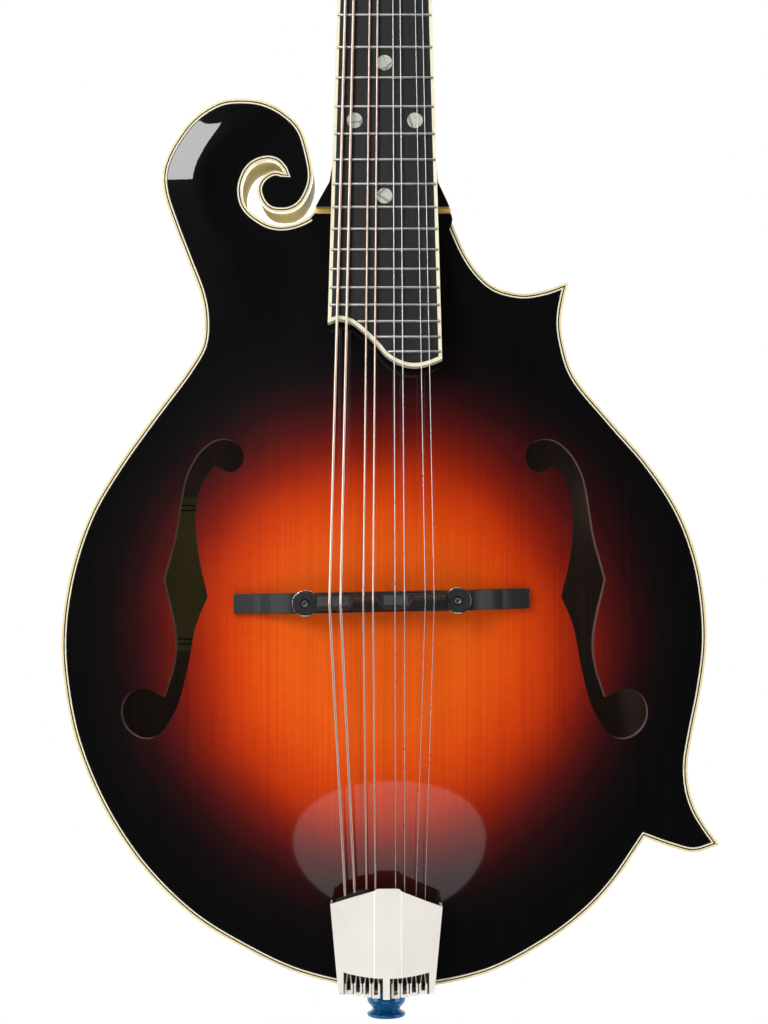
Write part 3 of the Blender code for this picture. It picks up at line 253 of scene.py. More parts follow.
def inset(loop, distance):
    """The loop moved inwards, without the points that would come too near another stretch of it."""
    points = counter_clockwise(loop)
    ahead = np.roll(points, -1, axis=0) - points
    ahead /= np.linalg.norm(ahead, axis=1, keepdims=True)
    normal_after = np.stack([-ahead[:, 1], ahead[:, 0]], axis=1)
    normal_before = np.roll(normal_after, 1, axis=0)
    turn = np.sum(normal_before * normal_after, axis=1, keepdims=True)
    mitre = (normal_before + normal_after) / np.maximum(1.0 + turn, 0.15)
    before = np.roll(ahead, 1, axis=0)
    reflex = before[:, 0] * ahead[:, 1] - before[:, 1] * ahead[:, 0] < 0.0
    length = np.linalg.norm(mitre, axis=1)
    limit = np.where(reflex, 1.3, 4.0)
    mitre *= np.minimum(1.0, limit / length)[:, None]
    result = points + mitre * distance
    keep = is_inside(points, result) & (distance_to(points, result) > 0.9 * distance)
    return [tuple(point) for point in result[keep]]


def circle(x, down, radius, sides=32):
    return [
        (x + radius * math.cos(math.tau * i / sides), down + radius * math.sin(math.tau * i / sides))
        for i in range(sides)
    ]


def mirrored(loop):
    return [(-x, down) for x, down in reversed(loop)]


# ---- Meshes ----
def link_mesh(name, mesh, matrix=Matrix.Identity(4)):
    item = bpy.data.objects.new(name, mesh)
    bpy.context.scene.collection.objects.link(item)
    item.matrix_world = matrix
    return item


def from_bmesh(name, source, matrix=Matrix.Identity(4)):
    mesh = bpy.data.meshes.new(name)
    source.to_mesh(mesh)
    source.free()
    return link_mesh(name, mesh, matrix)


def settle(item):
    """Applies the modifiers and the place of an object to its mesh, so that it sits at the origin."""
    bpy.context.view_layer.update()
    seen = item.evaluated_get(bpy.context.evaluated_depsgraph_get())
    mesh = bpy.data.meshes.new_from_object(seen)
    mesh.transform(item.matrix_world)
    name = item.name
    bpy.data.objects.remove(item)
    return link_mesh(name, mesh)


def weld(item):
    work = bmesh.new()
    work.from_mesh(item.data)
    bmesh.ops.remove_doubles(work, verts=work.verts, dist=1e-7)
    bmesh.ops.recalc_face_normals(work, faces=work.faces)
    work.to_mesh(item.data)
    work.free()
    return item


def soften(item, width=0.3, segments=2, angle=40.0):
    """Rounds the edges that are sharper than the angle, and keeps flat faces flat."""
    for polygon in item.data.polygons:
        polygon.use_smooth = True
    bevel = item.modifiers.new("round", "BEVEL")
    bevel.width = width * MM
    bevel.segments = segments
    bevel.limit_method = "ANGLE"
    bevel.angle_limit = math.radians(angle)
    bevel.use_clamp_overlap = True
    normals = item.modifiers.new("normals", "WEIGHTED_NORMAL")
    normals.weight = 80
    return settle(item)


def shade(item, angle=35.0):
    for polygon in item.data.polygons:
        polygon.use_smooth = True
    item.data.set_sharp_from_angle(angle=math.radians(angle))
    return item


def prism(name, loops, front, back, base=BODY):
    """A flat piece between two depths. Loops after the first are its holes."""
    curve = bpy.data.curves.new(name, "CURVE")
    curve.dimensions = "2D"
    curve.fill_mode = "BOTH"
    curve.extrude = (back - front) / 2 * MM
    for loop in loops:
        spline = curve.splines.new("POLY")
        spline.points.add(len(loop) - 1)
        spline.use_cyclic_u = True
        for point, (x, down) in zip(spline.points, loop):
            point.co = (x * MM, down * MM, 0.0, 1.0)
    drawn = bpy.data.objects.new(name, curve)
    bpy.context.scene.collection.objects.link(drawn)
    drawn.matrix_world = moved(base, depth=(front + back) / 2)
    return weld(settle(drawn))


def box(name, x_span, down_span, depth_span, base=BODY):
    work = bmesh.new()
    bmesh.ops.create_cube(work, size=1.0)
    low, high = (Vector(corner) for corner in zip(x_span, down_span, depth_span))
    bmesh.ops.scale(work, vec=(high - low) * MM, verts=work.verts)
    return settle(from_bmesh(name, work, moved(base, *((low + high) / 2))))


def cylinder(name, radius, depth_span, base, sides=32):
    low, high = depth_span
    work = bmesh.new()
    bmesh.ops.create_cone(work, cap_ends=True, segments=sides, radius1=radius * MM, radius2=radius * MM,
                          depth=(high - low) * MM)
    bmesh.ops.translate(work, vec=(0.0, 0.0, (low + high) / 2 * MM), verts=work.verts)
    return settle(from_bmesh(name, work, base))


def turned(name, profile, base, steps=48):
    """A solid of revolution about the frame's local z. The profile is (radius, height)."""
    work = bmesh.new()
    verts = [work.verts.new((radius * MM, 0.0, height * MM)) for radius, height in profile]
    for first, second in zip(verts, verts[1:]):
        work.edges.new((first, second))
    item = from_bmesh(name, work, base)
    screw = item.modifiers.new("turn", "SCREW")
    screw.steps = screw.render_steps = steps
    screw.use_merge_vertices = True
    screw.merge_threshold = 1e-7
    return weld(settle(item))


def tube(name, points, radius, sides=3, radii=None):
    """A round wire through points in metres."""
    curve = bpy.data.curves.new(name, "CURVE")
    curve.dimensions = "3D"
    curve.bevel_depth = radius * MM
    curve.bevel_resolution = sides
    curve.use_fill_caps = True
    spline = curve.splines.new("POLY")
    spline.points.add(len(points) - 1)
    for index, place in enumerate(points):
        spline.points[index].co = (*place, 1.0)
        if radii:
            spline.points[index].radius = radii[index]
    drawn = bpy.data.objects.new(name, curve)
    bpy.context.scene.collection.objects.link(drawn)
    return shade(weld(settle(drawn)), 60.0)


def join(name, items):
    """Separate solids as one piece."""
    work = bmesh.new()
    for item in items:
        work.from_mesh(item.data)
        bpy.data.objects.remove(item)
    return from_bmesh(name, work)


def combine(target, operation, tool):
    modifier = target.modifiers.new("combine", "BOOLEAN")
    modifier.operation = operation
    modifier.solver = "EXACT"
    modifier.object = tool
    result = settle(target)
    bpy.data.objects.remove(tool)
    return weld(result)


def place_piece(item, material, body=ROOT, replaces=()):
    """Gives a piece its material and its body, and hides the CAD nodes it stands for."""
    if not item.data.materials:
        item.data.materials.append(material)
    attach(item, body)
    if replaces:
        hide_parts(*replaces)


# ---- Materials ----
def colour(red, green, blue):
    """A linear colour from the 0 to 255 values that a colour picker shows."""
    def linear(value):
        value /= 255.0
        return value / 12.92 if value <= 0.04045 else ((value + 0.055) / 1.055) ** 2.4
    return (linear(red), linear(green), linear(blue), 1.0)


def scaled(value, share):
    return tuple(min(1.0, channel * share) for channel in value[:3]) + (1.0,)


UNDER_COAT_SPECULAR = 0.03  # the layer under a full coat hardly shines by itself
WHITE = (1.0, 1.0, 1.0, 1.0)


def add_node(tree, kind, inputs=None, **settings):
    """Adds a node. Each of its inputs is given a value or linked to another node's output."""
    node = tree.nodes.new(kind)
    for key, value in settings.items():
        setattr(node, key, value)
    for key, value in (inputs or {}).items():
        if isinstance(value, bpy.types.NodeSocket):
            tree.links.new(value, node.inputs[key])
        else:
            node.inputs[key].default_value = value
    return node


class Nodes:
    """A material's node tree, with short ways to add to it."""

    def __init__(self, name, roughness, metallic=0.0, coat=0.0, coat_roughness=0.03):
        self.material = bpy.data.materials.new(name)
        self.material.use_nodes = True
        self.tree = self.material.node_tree
        self.shader = self.tree.nodes["Principled BSDF"]
        self.shader.inputs["Roughness"].default_value = roughness
        self.shader.inputs["Metallic"].default_value = metallic
        self.shader.inputs["Coat Weight"].default_value = coat
        self.shader.inputs["Coat Roughness"].default_value = coat_roughness
        if coat == 1.0:
            self.shader.inputs["Specular IOR Level"].default_value = UNDER_COAT_SPECULAR
        self.place = self.add("ShaderNodeTexCoord").outputs["Object"]

    def add(self, kind, inputs=None, **settings):
        return add_node(self.tree, kind, inputs, **settings)

    def link(self, output, name):
        self.tree.links.new(output, self.shader.inputs[name])

    def stretched(self, scale):
        return self.add("ShaderNodeMapping", {"Vector": self.place, "Scale": scale}).outputs["Vector"]

    def noise(self, scale, detail=3.0, distortion=0.0):
        """Noise at a scale for each axis, in cycles for each metre."""
        inputs = {"Vector": self.stretched(scale), "Scale": 1.0, "Detail": detail, "Distortion": distortion}
        return self.add("ShaderNodeTexNoise", inputs).outputs["Fac"]

    def ramp(self, value, stops):
        node = self.add("ShaderNodeValToRGB", {"Fac": value})
        elements = node.color_ramp.elements
        while len(elements) < len(stops):
            elements.new(0.5)
        for element, (position, shown) in zip(elements, stops):
            element.position = position
            element.color = shown
        return node.outputs["Color"]

    def range(self, value, low, high, to_low, to_high):
        inputs = {"Value": value, "From Min": low, "From Max": high, "To Min": to_low, "To Max": to_high}
        return self.add("ShaderNodeMapRange", inputs).outputs["Result"]

    def tinted(self, base, pattern, low, high, tint, share):
        """The base times a tint, which fades to white as the pattern rises from low to high."""
        tints = self.ramp(pattern, [(low, tint), (high, WHITE)])
        inputs = {6: base, 7: tints, 0: share}  # the two colours, then how much of the second
        return self.add("ShaderNodeMix", inputs, data_type="RGBA", blend_type="MULTIPLY").outputs[2]

    def bump(self, height, distance, strength=1.0):
        node = self.add("ShaderNodeBump", {"Height": height, "Distance": distance * MM, "Strength": strength})
        self.link(node.outputs["Normal"], "Normal")


def plain(name, base, roughness, metallic=0.0, coat=0.0, contrast=0.12, scale=(400.0, 400.0, 400.0),
          bump=0.0, spread=0.06):
    """A material whose colour and roughness vary a little with noise."""
    nodes = Nodes(name, roughness, metallic, coat)
    grain = nodes.noise(scale)
    stops = [(0.3, scaled(base, 1.0 - contrast)), (0.7, scaled(base, 1.0 + contrast))]
    nodes.link(nodes.ramp(grain, stops), "Base Color")
    nodes.link(nodes.range(grain, 0.3, 0.7, max(0.02, roughness - spread), roughness + spread), "Roughness")
    if bump:
        nodes.bump(grain, bump)
    return nodes.material


BURST_CENTRE, BURST_REACH = (-0.0015, 0.0, -0.3685), 125.0  # in metres, in millimetres
BURST_STOPS = [  # radius in millimetres, colour
    (34.0, (221, 88, 16)), (48.0, (212, 74, 11)), (56.0, (198, 61, 8)), (64.0, (178, 49, 7)),
    (70.5, (148, 35, 8)), (77.5, (112, 23, 11)), (85.5, (74, 16, 14)), (94.5, (40, 11, 14)),
    (104.5, (17, 9, 11)), (115.0, (9, 8, 9)),
]


def burst(nodes, stops):
    """The sunburst: colour by distance from the burst's centre, on the plan of the body."""
    def vector_maths(operation, *values):
        return nodes.add("ShaderNodeVectorMath", dict(enumerate(values)), operation=operation)
    offset = vector_maths("SUBTRACT", nodes.place, BURST_CENTRE).outputs[0]
    flat = vector_maths("MULTIPLY", offset, (1.0, 0.0, 1.0)).outputs[0]
    radius = vector_maths("LENGTH", flat).outputs["Value"]
    cloud = nodes.range(nodes.noise((14.0, 14.0, 14.0), 2.0), 0.3, 0.7, -0.0035, 0.0035)
    uneven = nodes.add("ShaderNodeMath", {0: radius, 1: cloud}, operation="ADD").outputs[0]
    share = nodes.range(uneven, 0.0, BURST_REACH * MM, 0.0, 1.0)
    return nodes.ramp(share, [(distance / BURST_REACH, colour(*shown)) for distance, shown in stops])


def spruce_top():
    nodes = Nodes("sunburst_spruce", 0.42, coat=1.0, coat_roughness=0.025)
    base = burst(nodes, BURST_STOPS)
    lines = nodes.noise((1050.0, 30.0, 9.0), 4.0, 0.2)
    silk = nodes.noise((260.0, 60.0, 900.0), 2.0)
    base = nodes.tinted(base, lines, 0.3, 0.62, (0.72, 0.66, 0.6, 1.0), 0.55)
    base = nodes.tinted(base, silk, 0.35, 0.65, (0.9, 0.88, 0.86, 1.0), 0.5)
    nodes.link(base, "Base Color")
    nodes.link(nodes.range(lines, 0.3, 0.7, 0.38, 0.5), "Roughness")
    return nodes.material


def flamed_maple(name, stops):
    """Two matched halves of maple, with curl across the grain, under a sunburst."""
    nodes = Nodes(name, 0.4, coat=1.0, coat_roughness=0.03)
    base = burst(nodes, stops)
    halves = nodes.add("ShaderNodeVectorMath", {0: nodes.place}, operation="ABSOLUTE").outputs[0]
    slanted = nodes.add("ShaderNodeMapping", {"Vector": halves, "Rotation": (0.0, 0.2, 0.0)})
    stretch = {"Vector": slanted.outputs["Vector"], "Scale": (12.0, 16.0, 170.0)}
    long_grain = nodes.add("ShaderNodeMapping", stretch).outputs["Vector"]
    flame = {"Vector": long_grain, "Scale": 1.0, "Detail": 1.5, "Distortion": 0.35}
    curl = nodes.add("ShaderNodeTexNoise", flame).outputs["Fac"]
    pores = nodes.noise((900.0, 900.0, 25.0), 2.0)
    base = nodes.tinted(base, curl, 0.38, 0.6, (0.42, 0.34, 0.3, 1.0), 0.75)
    base = nodes.tinted(base, pores, 0.3, 0.6, (0.85, 0.83, 0.8, 1.0), 0.5)
    nodes.link(base, "Base Color")
    nodes.link(nodes.range(curl, 0.3, 0.7, 0.34, 0.46), "Roughness")
    return nodes.material


def ivoroid(name, dark, pale):
    """Cream celluloid with the fine lines of sawn ivory."""
    nodes = Nodes(name, 0.3, coat=0.6, coat_roughness=0.05)
    lines = nodes.noise((300.0, 300.0, 60.0), 3.0, 0.4)
    nodes.link(nodes.ramp(lines, [(0.3, dark), (0.7, pale)]), "Base Color")
    nodes.link(nodes.range(lines, 0.3, 0.7, 0.26, 0.36), "Roughness")
    return nodes.material


def ebony(name, dark, middle, pale):
    nodes = Nodes(name, 0.42)
    streaks = nodes.noise((900.0, 300.0, 14.0), 4.0, 0.3)
    fine = nodes.noise((3000.0, 3000.0, 120.0), 2.0)
    base = nodes.ramp(streaks, [(0.32, dark), (0.6, middle), (0.75, pale)])
    nodes.link(base, "Base Color")
    nodes.link(nodes.range(fine, 0.3, 0.7, 0.36, 0.52), "Roughness")
    nodes.bump(fine, 0.03, 0.5)
    return nodes.material


def pearl(name, flaked):
    """Mother of pearl: pale, with soft green and pink figure. Inlay is also cut from joined flakes."""
    nodes = Nodes(name, 0.2, coat=0.5)
    cells = nodes.noise((420.0, 420.0, 420.0), 4.0, 2.2)
    base = nodes.ramp(cells, [(0.28, colour(122, 138, 126)), (0.42, colour(168, 178, 164)),
                              (0.55, colour(190, 194, 182)), (0.68, colour(172, 168, 166)),
                              (0.8, colour(130, 146, 136))])
    if flaked:
        inputs = {"Vector": nodes.stretched((95.0, 95.0, 95.0)), "Scale": 1.0}
        flakes = nodes.add("ShaderNodeTexVoronoi", inputs, feature="DISTANCE_TO_EDGE").outputs["Distance"]
        base = nodes.tinted(base, flakes, 0.0, 0.05, colour(110, 122, 114), 0.8)
    nodes.link(base, "Base Color")
    nodes.link(nodes.range(cells, 0.3, 0.7, 0.14, 0.3), "Roughness")
    return nodes.material


def metal(name, base, roughness, brushed=(60.0, 60.0, 60.0), contrast=0.06):
    return plain(name, base, roughness, 1.0, contrast=contrast, scale=brushed, spread=roughness * 0.3)


def wound(name, base, roughness):
    """Wire wound closely round a core: fine rings along the string."""
    nodes = Nodes(name, roughness, 1.0)
    rings = nodes.add("ShaderNodeTexWave", {"Vector": nodes.stretched((1.0, 1.0, 1.0)), "Scale": 480.0,
                                           "Distortion": 0.0}, wave_type="BANDS", bands_direction="Z")
    value = rings.outputs["Fac"]
    # The darker bands between the turns are painted shade in the grooves; the bump gives the grooves their
    # shape.
    nodes.link(nodes.ramp(value, [(0.0, scaled(base, 0.72)), (0.5, base)]), "Base Color")
    nodes.link(nodes.range(value, 0.0, 1.0, roughness + 0.1, roughness), "Roughness")
    nodes.bump(value, 0.06, 0.6)
    return nodes.material


def paper():
    """The paper of a blank label; its double ruled border near the two ends is built with the label."""
    nodes = Nodes("label_paper_painted_shade", 0.8)
    fibres = nodes.noise((1500.0, 1500.0, 1500.0), 3.0)
    # Painted shade: the paper's colour is a dark tan, darkened for the shade inside the body where the label
    # is seen.
    base = nodes.ramp(fibres, [(0.3, colour(122, 108, 60)), (0.7, colour(136, 121, 70))])
    nodes.link(base, "Base Color")
    nodes.bump(fibres, 0.05)
    return nodes.material


MAPLE_STOPS = [(20.0, (150, 70, 26)), (60.0, (124, 46, 16)), (85.0, (66, 22, 12)), (104.0, (24, 11, 10)),
               (120.0, (10, 8, 8))]
WOOD_GRAIN, FINE_GRAIN = (500.0, 500.0, 14.0), (300.0, 300.0, 300.0)  # cycles for each metre
LOOKS = {
    "top": spruce_top(),
    "back": flamed_maple("sunburst_maple", MAPLE_STOPS),
    "lacquer": plain("black_lacquer", colour(10, 9, 10), 0.35, coat=1.0, contrast=0.25,
                     scale=(60.0, 60.0, 12.0)),
    "wood": plain("bare_wood", colour(168, 128, 84), 0.75, contrast=0.18, scale=WOOD_GRAIN, bump=0.08),
    "ebony": ebony("ebony", colour(20, 20, 21), colour(31, 31, 32), colour(44, 42, 41)),
    "board": ebony("board_ebony", colour(8, 8, 8), colour(15, 15, 15), colour(24, 23, 22)),
    "ivoroid": ivoroid("ivoroid", colour(218, 202, 148), colour(230, 217, 170)),
    "board_edging": ivoroid("pale_ivoroid", colour(224, 217, 186), colour(236, 231, 204)),
    # The joint strip's ivoroid is a brighter, yellower copy of the binding: painted light on a strip that
    # lies in shade by the board's end.
    "joint_strip": ivoroid("amber_ivoroid_painted_light", colour(246, 200, 104), colour(254, 212, 114)),
    # The curl's walls: cream binding, coloured near white and matte as a painted reflection of the bright
    # backdrop.
    "slot_wall_painted_reflection": plain("slot_wall_painted_reflection", colour(255, 243, 200), 0.75, contrast=0.03, scale=(300.0, 300.0, 60.0)),
    # The plates' rims, the f-hole walls among them: a bare cut edge, coloured pale grey-pink as a painted
    # highlight along the f-holes.
    "hole_edge_painted_highlight": plain("hole_edge_painted_highlight", colour(118, 94, 86), 0.6, contrast=0.15, scale=WOOD_GRAIN),
    "black_ply": plain("black_ply", colour(14, 13, 13), 0.35, coat=0.8, contrast=0.2),
    "white_ply": plain("white_ply", colour(232, 222, 196), 0.35, coat=0.8, contrast=0.05),
    "bone": plain("bone", colour(228, 220, 200), 0.4, contrast=0.08, scale=(500.0, 500.0, 900.0), bump=0.02),
    "pearl": pearl("pearl", True),
    "button_pearl": pearl("button_pearl", False),
    "nickel": plain("nickel", colour(247, 241, 233), 0.3, 0.3, 0.0, 0.02, (35.0, 35.0, 35.0)),
    "chrome": metal("bright_nickel", colour(214, 210, 202), 0.14),
    "brass": metal("brass", colour(196, 158, 92), 0.3, FINE_GRAIN, 0.12),
    "steel": metal("steel", colour(205, 206, 207), 0.34, FINE_GRAIN, 0.08),
    "fret": metal("fret_wire", colour(206, 203, 200), 0.48, FINE_GRAIN, 0.08),
    "bronze": wound("phosphor_bronze", colour(248, 222, 206), 0.3),
    "blue": plain("blue_anodised", colour(30, 108, 162), 0.26, 0.5, 0.3, 0.08, (40.0, 40.0, 900.0)),
    "felt": plain("felt", colour(24, 28, 24), 0.95, contrast=0.3, scale=(1800.0, 1800.0, 1800.0), bump=0.25),
    "paper": paper(),
    # Painted shade: the wood inside the body is much darker than the bare wood, for the shade inside.
    "inside_wood_painted_shade": plain("inside_wood_painted_shade", colour(100, 80, 70), 0.85, contrast=0.18, scale=WOOD_GRAIN,
                         bump=0.08),
    # Painted shade: the nickel of the tailpiece's base and hook posts is darkened for the unlit inside of the
    # cover.
    "nickel_painted_shade": metal("shaded_nickel", colour(92, 84, 76), 0.4),
}


# ---- The arch ----
GRID_LOW, GRID_HIGH = (-140.0, 195.0), (140.0, 510.0)
GRID_ABOVE = 40.0  # how far the plates reach above the arch's grid


def solve_arch():
    """A soap film blown up inside the sound chamber's plan: smooth, highest in the middle, 0 at the edge."""
    columns = np.arange(GRID_LOW[0], GRID_HIGH[0] + NET / 2, NET)
    rows = np.arange(GRID_LOW[1], GRID_HIGH[1] + NET / 2, NET)
    across, down = np.meshgrid(columns, rows)
    inside = is_inside(smooth_loop(CHAMBER, 4.0), np.stack([across.ravel(), down.ravel()], axis=1))
    inside = inside.reshape(across.shape).astype(float)
    film = np.zeros(across.shape)
    for _ in range(9000):
        around = (np.roll(film, 1, 0) + np.roll(film, -1, 0) + np.roll(film, 1, 1) + np.roll(film, -1, 1)) / 4
        film = (around + 1.0) * inside
    return film / film.max()


FILM = solve_arch()


def film_at(points):
    """The film's height at each point, read between the grid's nodes."""
    points = np.asarray(points, dtype=float)
    column = np.clip((points[:, 0] - GRID_LOW[0]) / NET, 0, FILM.shape[1] - 1.001)
    row = np.clip((points[:, 1] - GRID_LOW[1]) / NET, 0, FILM.shape[0] - 1.001)
    left, top = column.astype(int), row.astype(int)
    u, v = column - left, row - top
    return (FILM[top, left] * (1 - u) * (1 - v) + FILM[top, left + 1] * u * (1 - v)
            + FILM[top + 1, left] * (1 - u) * v + FILM[top + 1, left + 1] * u * v)


def arch_share(points):
    """0 at the edge, with a hollow beside it, rising to 1 at the crest."""
    return 0.5 + 0.5 * np.cos(math.pi * np.sqrt(1.0 - np.clip(film_at(points), 0.0, 1.0)))


BODY_OUTLINE = outline(BODY_RUNS)
PLY_WIDTHS = [0.75, 0.5, 0.5, 0.3]  # cream, black, white, black, from the outside in
BINDING = sum(PLY_WIDTHS)
SLOT_LOOP = circle(-41.0, 196.5, 10.5)
SLOT_CALM = 22.0
RELIEF, RELIEF_REACH = 2.4, 14.0  # how far the scroll and the points are rounded up, and over what width


def eased(value):
    value = np.clip(value, 0.0, 1.0)
    return value * value * (3.0 - 2.0 * value)


def relief(points):
    """The pillow shape of the scroll: steep by the binding, flat by the slot, none on the arch."""
    points = np.asarray(points)
    reach = np.clip(distance_to(BODY_OUTLINE, points) - BINDING, 0.0, RELIEF_REACH) / RELIEF_REACH
    slot = distance_to(SLOT_LOOP, points)
    above_arch, bass_side = (262.0 - points[:, 1]) / 50.0, (-34.0 - points[:, 0]) / 24.0
    fade = eased(above_arch) * eased(bass_side) * eased(slot / SLOT_CALM)
    return RELIEF * np.sin(reach * math.pi / 2) * fade


def face_depth(points, edge, crest, scroll=True):
    level = edge + (crest - edge) * arch_share(points)
    if scroll:
        level = level + math.copysign(1.0, crest - edge) * relief(points)
    return level


def net_points(loop, holes):
    """The grid's own nodes that lie inside a loop, clear of its edge and of its holes."""
    columns = np.arange(GRID_LOW[0], GRID_HIGH[0] + NET / 2, NET)
    rows = np.arange(GRID_LOW[1] - GRID_ABOVE, GRID_HIGH[1] + NET / 2, NET)
    across, down = np.meshgrid(columns, rows)
    nodes = np.stack([across.ravel(), down.ravel()], axis=1)
    free = is_inside(loop, nodes) & (distance_to(loop, nodes) > NET * 0.35)
    for hole in holes:
        free &= ~is_inside(hole, nodes) & (distance_to(hole, nodes) > NET * 0.3)
    return nodes[free]


def arched_plate(name, loop, holes, edge, crest, thickness, surface):
    """A carved plate: an arched sheet inside the loop, thickened inwards."""
    rings = [np.array(loop)] + [np.array(hole) for hole in holes]
    edges, start = [], 0
    for ring in rings:
        count = len(ring)
        edges += [(start + i, start + (i + 1) % count) for i in range(count)]
        start += count
    flat = np.concatenate(rings + [net_points(loop, holes)])
    points, _, triangles, *_ = delaunay_2d_cdt([Vector(p) for p in flat], edges, [], 0, 1e-5)
    points = np.array([tuple(p) for p in points])
    corners = np.array([list(triangle) for triangle in triangles])
    middles = points[corners].mean(axis=1)
    inside = is_inside(loop, middles)
    for hole in holes:
        inside &= ~is_inside(hole, middles)
    depths = face_depth(points, edge, crest)
    mesh = bpy.data.meshes.new(name)
    verts = np.stack([points[:, 0], depths, -points[:, 1]], axis=1) * MM
    mesh.from_pydata(verts.tolist(), [], corners[inside].tolist())
    item = link_mesh(name, mesh)
    work = bmesh.new()
    work.from_mesh(mesh)
    bmesh.ops.delete(work, geom=[v for v in work.verts if not v.link_faces], context="VERTS")
    outwards = math.copysign(1.0, crest - edge)
    for face in work.faces:
        if face.normal.y * outwards < 0.0:
            face.normal_flip()
    work.to_mesh(mesh)
    work.free()
    solidify = item.modifiers.new("thickness", "SOLIDIFY")
    solidify.thickness = thickness * MM
    solidify.offset = -1.0
    solidify.material_offset = 1
    solidify.material_offset_rim = 2
    # The inner face takes the inside wood, darkened as painted shade; the rims take the hole edge, lightened
    # as a painted highlight.
    for look in (LOOKS[surface], LOOKS["inside_wood_painted_shade"], LOOKS["hole_edge_painted_highlight"]):
        item.data.materials.append(look)
    return shade(settle(item), 40.0)


def build_plates():
    loop = inset(BODY_OUTLINE, BINDING)
    bass_hole = outline(F_HOLE_RUNS, 0.9)
    holes = [bass_hole, mirrored(bass_hole)]
    top = arched_plate("carved_top", loop, holes, TOP_EDGE, TOP_CREST, PLATE_TOP, "top")
    place_piece(top, LOOKS["top"], replaces=["top_plate"])
    back = arched_plate("carved_back", loop, [], BACK_EDGE, BACK_CREST, PLATE_BACK, "back")
    place_piece(back, LOOKS["back"], replaces=["back_plate"])


def build_bindings():
    """Four plies round each edge; only the cream one reaches down the side."""
    outside = [0.0]
    for width in PLY_WIDTHS:
        outside.append(outside[-1] + width)
    names = ["cream", "black_line", "white_line", "inner_line"]
    looks = ["ivoroid", "black_ply", "white_ply", "black_ply"]
    for edge, way, node in ((TOP_EDGE, 1.0, "top_binding"), (BACK_EDGE, -1.0, "back_binding")):
        for index, (name, look) in enumerate(zip(names, looks)):
            outer = BODY_OUTLINE if index == 0 else inset(BODY_OUTLINE, outside[index])
            inner = inset(BODY_OUTLINE, outside[index + 1])
            front, back = sorted((edge, edge + way * (5.0 if index == 0 else 4.2)))
            ply = prism(f"{node}_{name}", [outer, inner], front, back)
            if index == 0:
                ply = soften(ply, 0.12, 1)
            place_piece(ply, LOOKS[look], replaces=[node] if index == 0 else ())


def mitre_cut(tip, inner, side):
    """Two points on one side of a glue line from a body point's tip inwards."""
    tip, inner = Vector(tip), Vector(inner)
    along = (inner - tip).normalized()
    across = Vector((-along.y, along.x)) * side * 0.02
    return [tuple(tip - along * 30.0 + across), tuple(inner + along * 30.0 + across)]


# The curl's walls carry cream binding, lightened near white as a painted reflection of the backdrop.
CURL_CENTRE, CURL_REACH = (-41.0, 196.0), 19.0  # the scroll's curl, whose walls are lined with binding


def build_ribs():
    front, back = TOP_EDGE + 4.6, BACK_EDGE - 4.6
    upper_inner, lower_inner = (56.7, 245.9), (104.0, 437.3)
    upper_above, upper_below = mitre_cut(UPPER_TIP, upper_inner, 1), mitre_cut(UPPER_TIP, upper_inner, -1)
    lower_above, lower_below = mitre_cut(LOWER_TIP, lower_inner, 1), mitre_cut(LOWER_TIP, lower_inner, -1)
    regions = {
        "rib_bass": [(-150, 140), (-26.6, 140), (-26.6, 300), (-0.02, 300), (-0.02, 520), (-150, 520)],
        "rib_treble_upper": [(25.3, 190), (110, 190)] + upper_above + [(25.3, 260)],
        "rib_treble_waist": [upper_below[0], (190, 260), (190, 470)] + lower_above + [(40, 420), (38, 280)]
        + [upper_below[1]],
        "rib_treble_lower": lower_below + [(60, 440), (0.02, 440), (0.02, 520), (190, 520), (190, 470)],
    }
    loops = [inset(BODY_OUTLINE, 0.05), inset(BODY_OUTLINE, RIB)]
    for node, region in regions.items():
        ring = prism(node.replace("rib", "side"), loops, front, back)
        ring = combine(ring, "INTERSECT", prism("region", [region], front - 5, back + 5))
        # The third look is the slot wall, lightened near white as a painted reflection.
        for look in (LOOKS["back"], LOOKS["inside_wood_painted_shade"], LOOKS["slot_wall_painted_reflection"]):
            ring.data.materials.append(look)
        middles = np.array([(face.center.x / MM, -face.center.z / MM) for face in ring.data.polygons])
        inner_side = distance_to(BODY_OUTLINE, middles) > RIB - 0.2
        in_curl = np.linalg.norm(middles - CURL_CENTRE, axis=1) < CURL_REACH
        # Inner faces take the inside wood, darkened as painted shade; faces in the curl take the slot wall,
        # lightened as a painted reflection.
        for face, inner, curled in zip(ring.data.polygons, inner_side, in_curl):
            face.material_index = 1 if inner else 2 * int(curled)  # lacquer, bare inside, slot wall
        place_piece(shade(ring, 35.0), LOOKS["back"], replaces=[node])


def build_label():
    """A blank paper label glued inside the back, below the bass f-hole."""
    x_low, x_high, top, bottom = -104.0, -52.0, 313.0, 374.0
    work = bmesh.new()
    bmesh.ops.create_grid(work, x_segments=12, y_segments=12, size=0.5)
    spots = [((x_low + x_high) / 2 + v.co.x * (x_high - x_low), (top + bottom) / 2 + v.co.y * (bottom - top))
             for v in work.verts]
    levels = face_depth(np.array(spots), BACK_EDGE, BACK_CREST, scroll=False) - PLATE_BACK - 0.25
    for vert, (x, down), level in zip(work.verts, spots, levels):
        vert.co = Vector((x, level, -down)) * MM
    label = from_bmesh("paper_label", work)
    solidify = label.modifiers.new("thickness", "SOLIDIFY")
    solidify.thickness = 0.15 * MM
    place_piece(settle(label), LOOKS["paper"])
    rules = []
    for down in (top + 3.0, top + 5.0, bottom - 3.0, bottom - 5.0):
        level = float(face_depth(np.array([((x_low + x_high) / 2, down)]), BACK_EDGE, BACK_CREST, False)[0])
        rules.append(box("rule", (x_low + 2, x_high - 2), (down, down + 0.5),
                         (level - PLATE_BACK - 1.0, level - PLATE_BACK - 0.6)))
    place_piece(join("label_rules", rules), LOOKS["black_ply"])


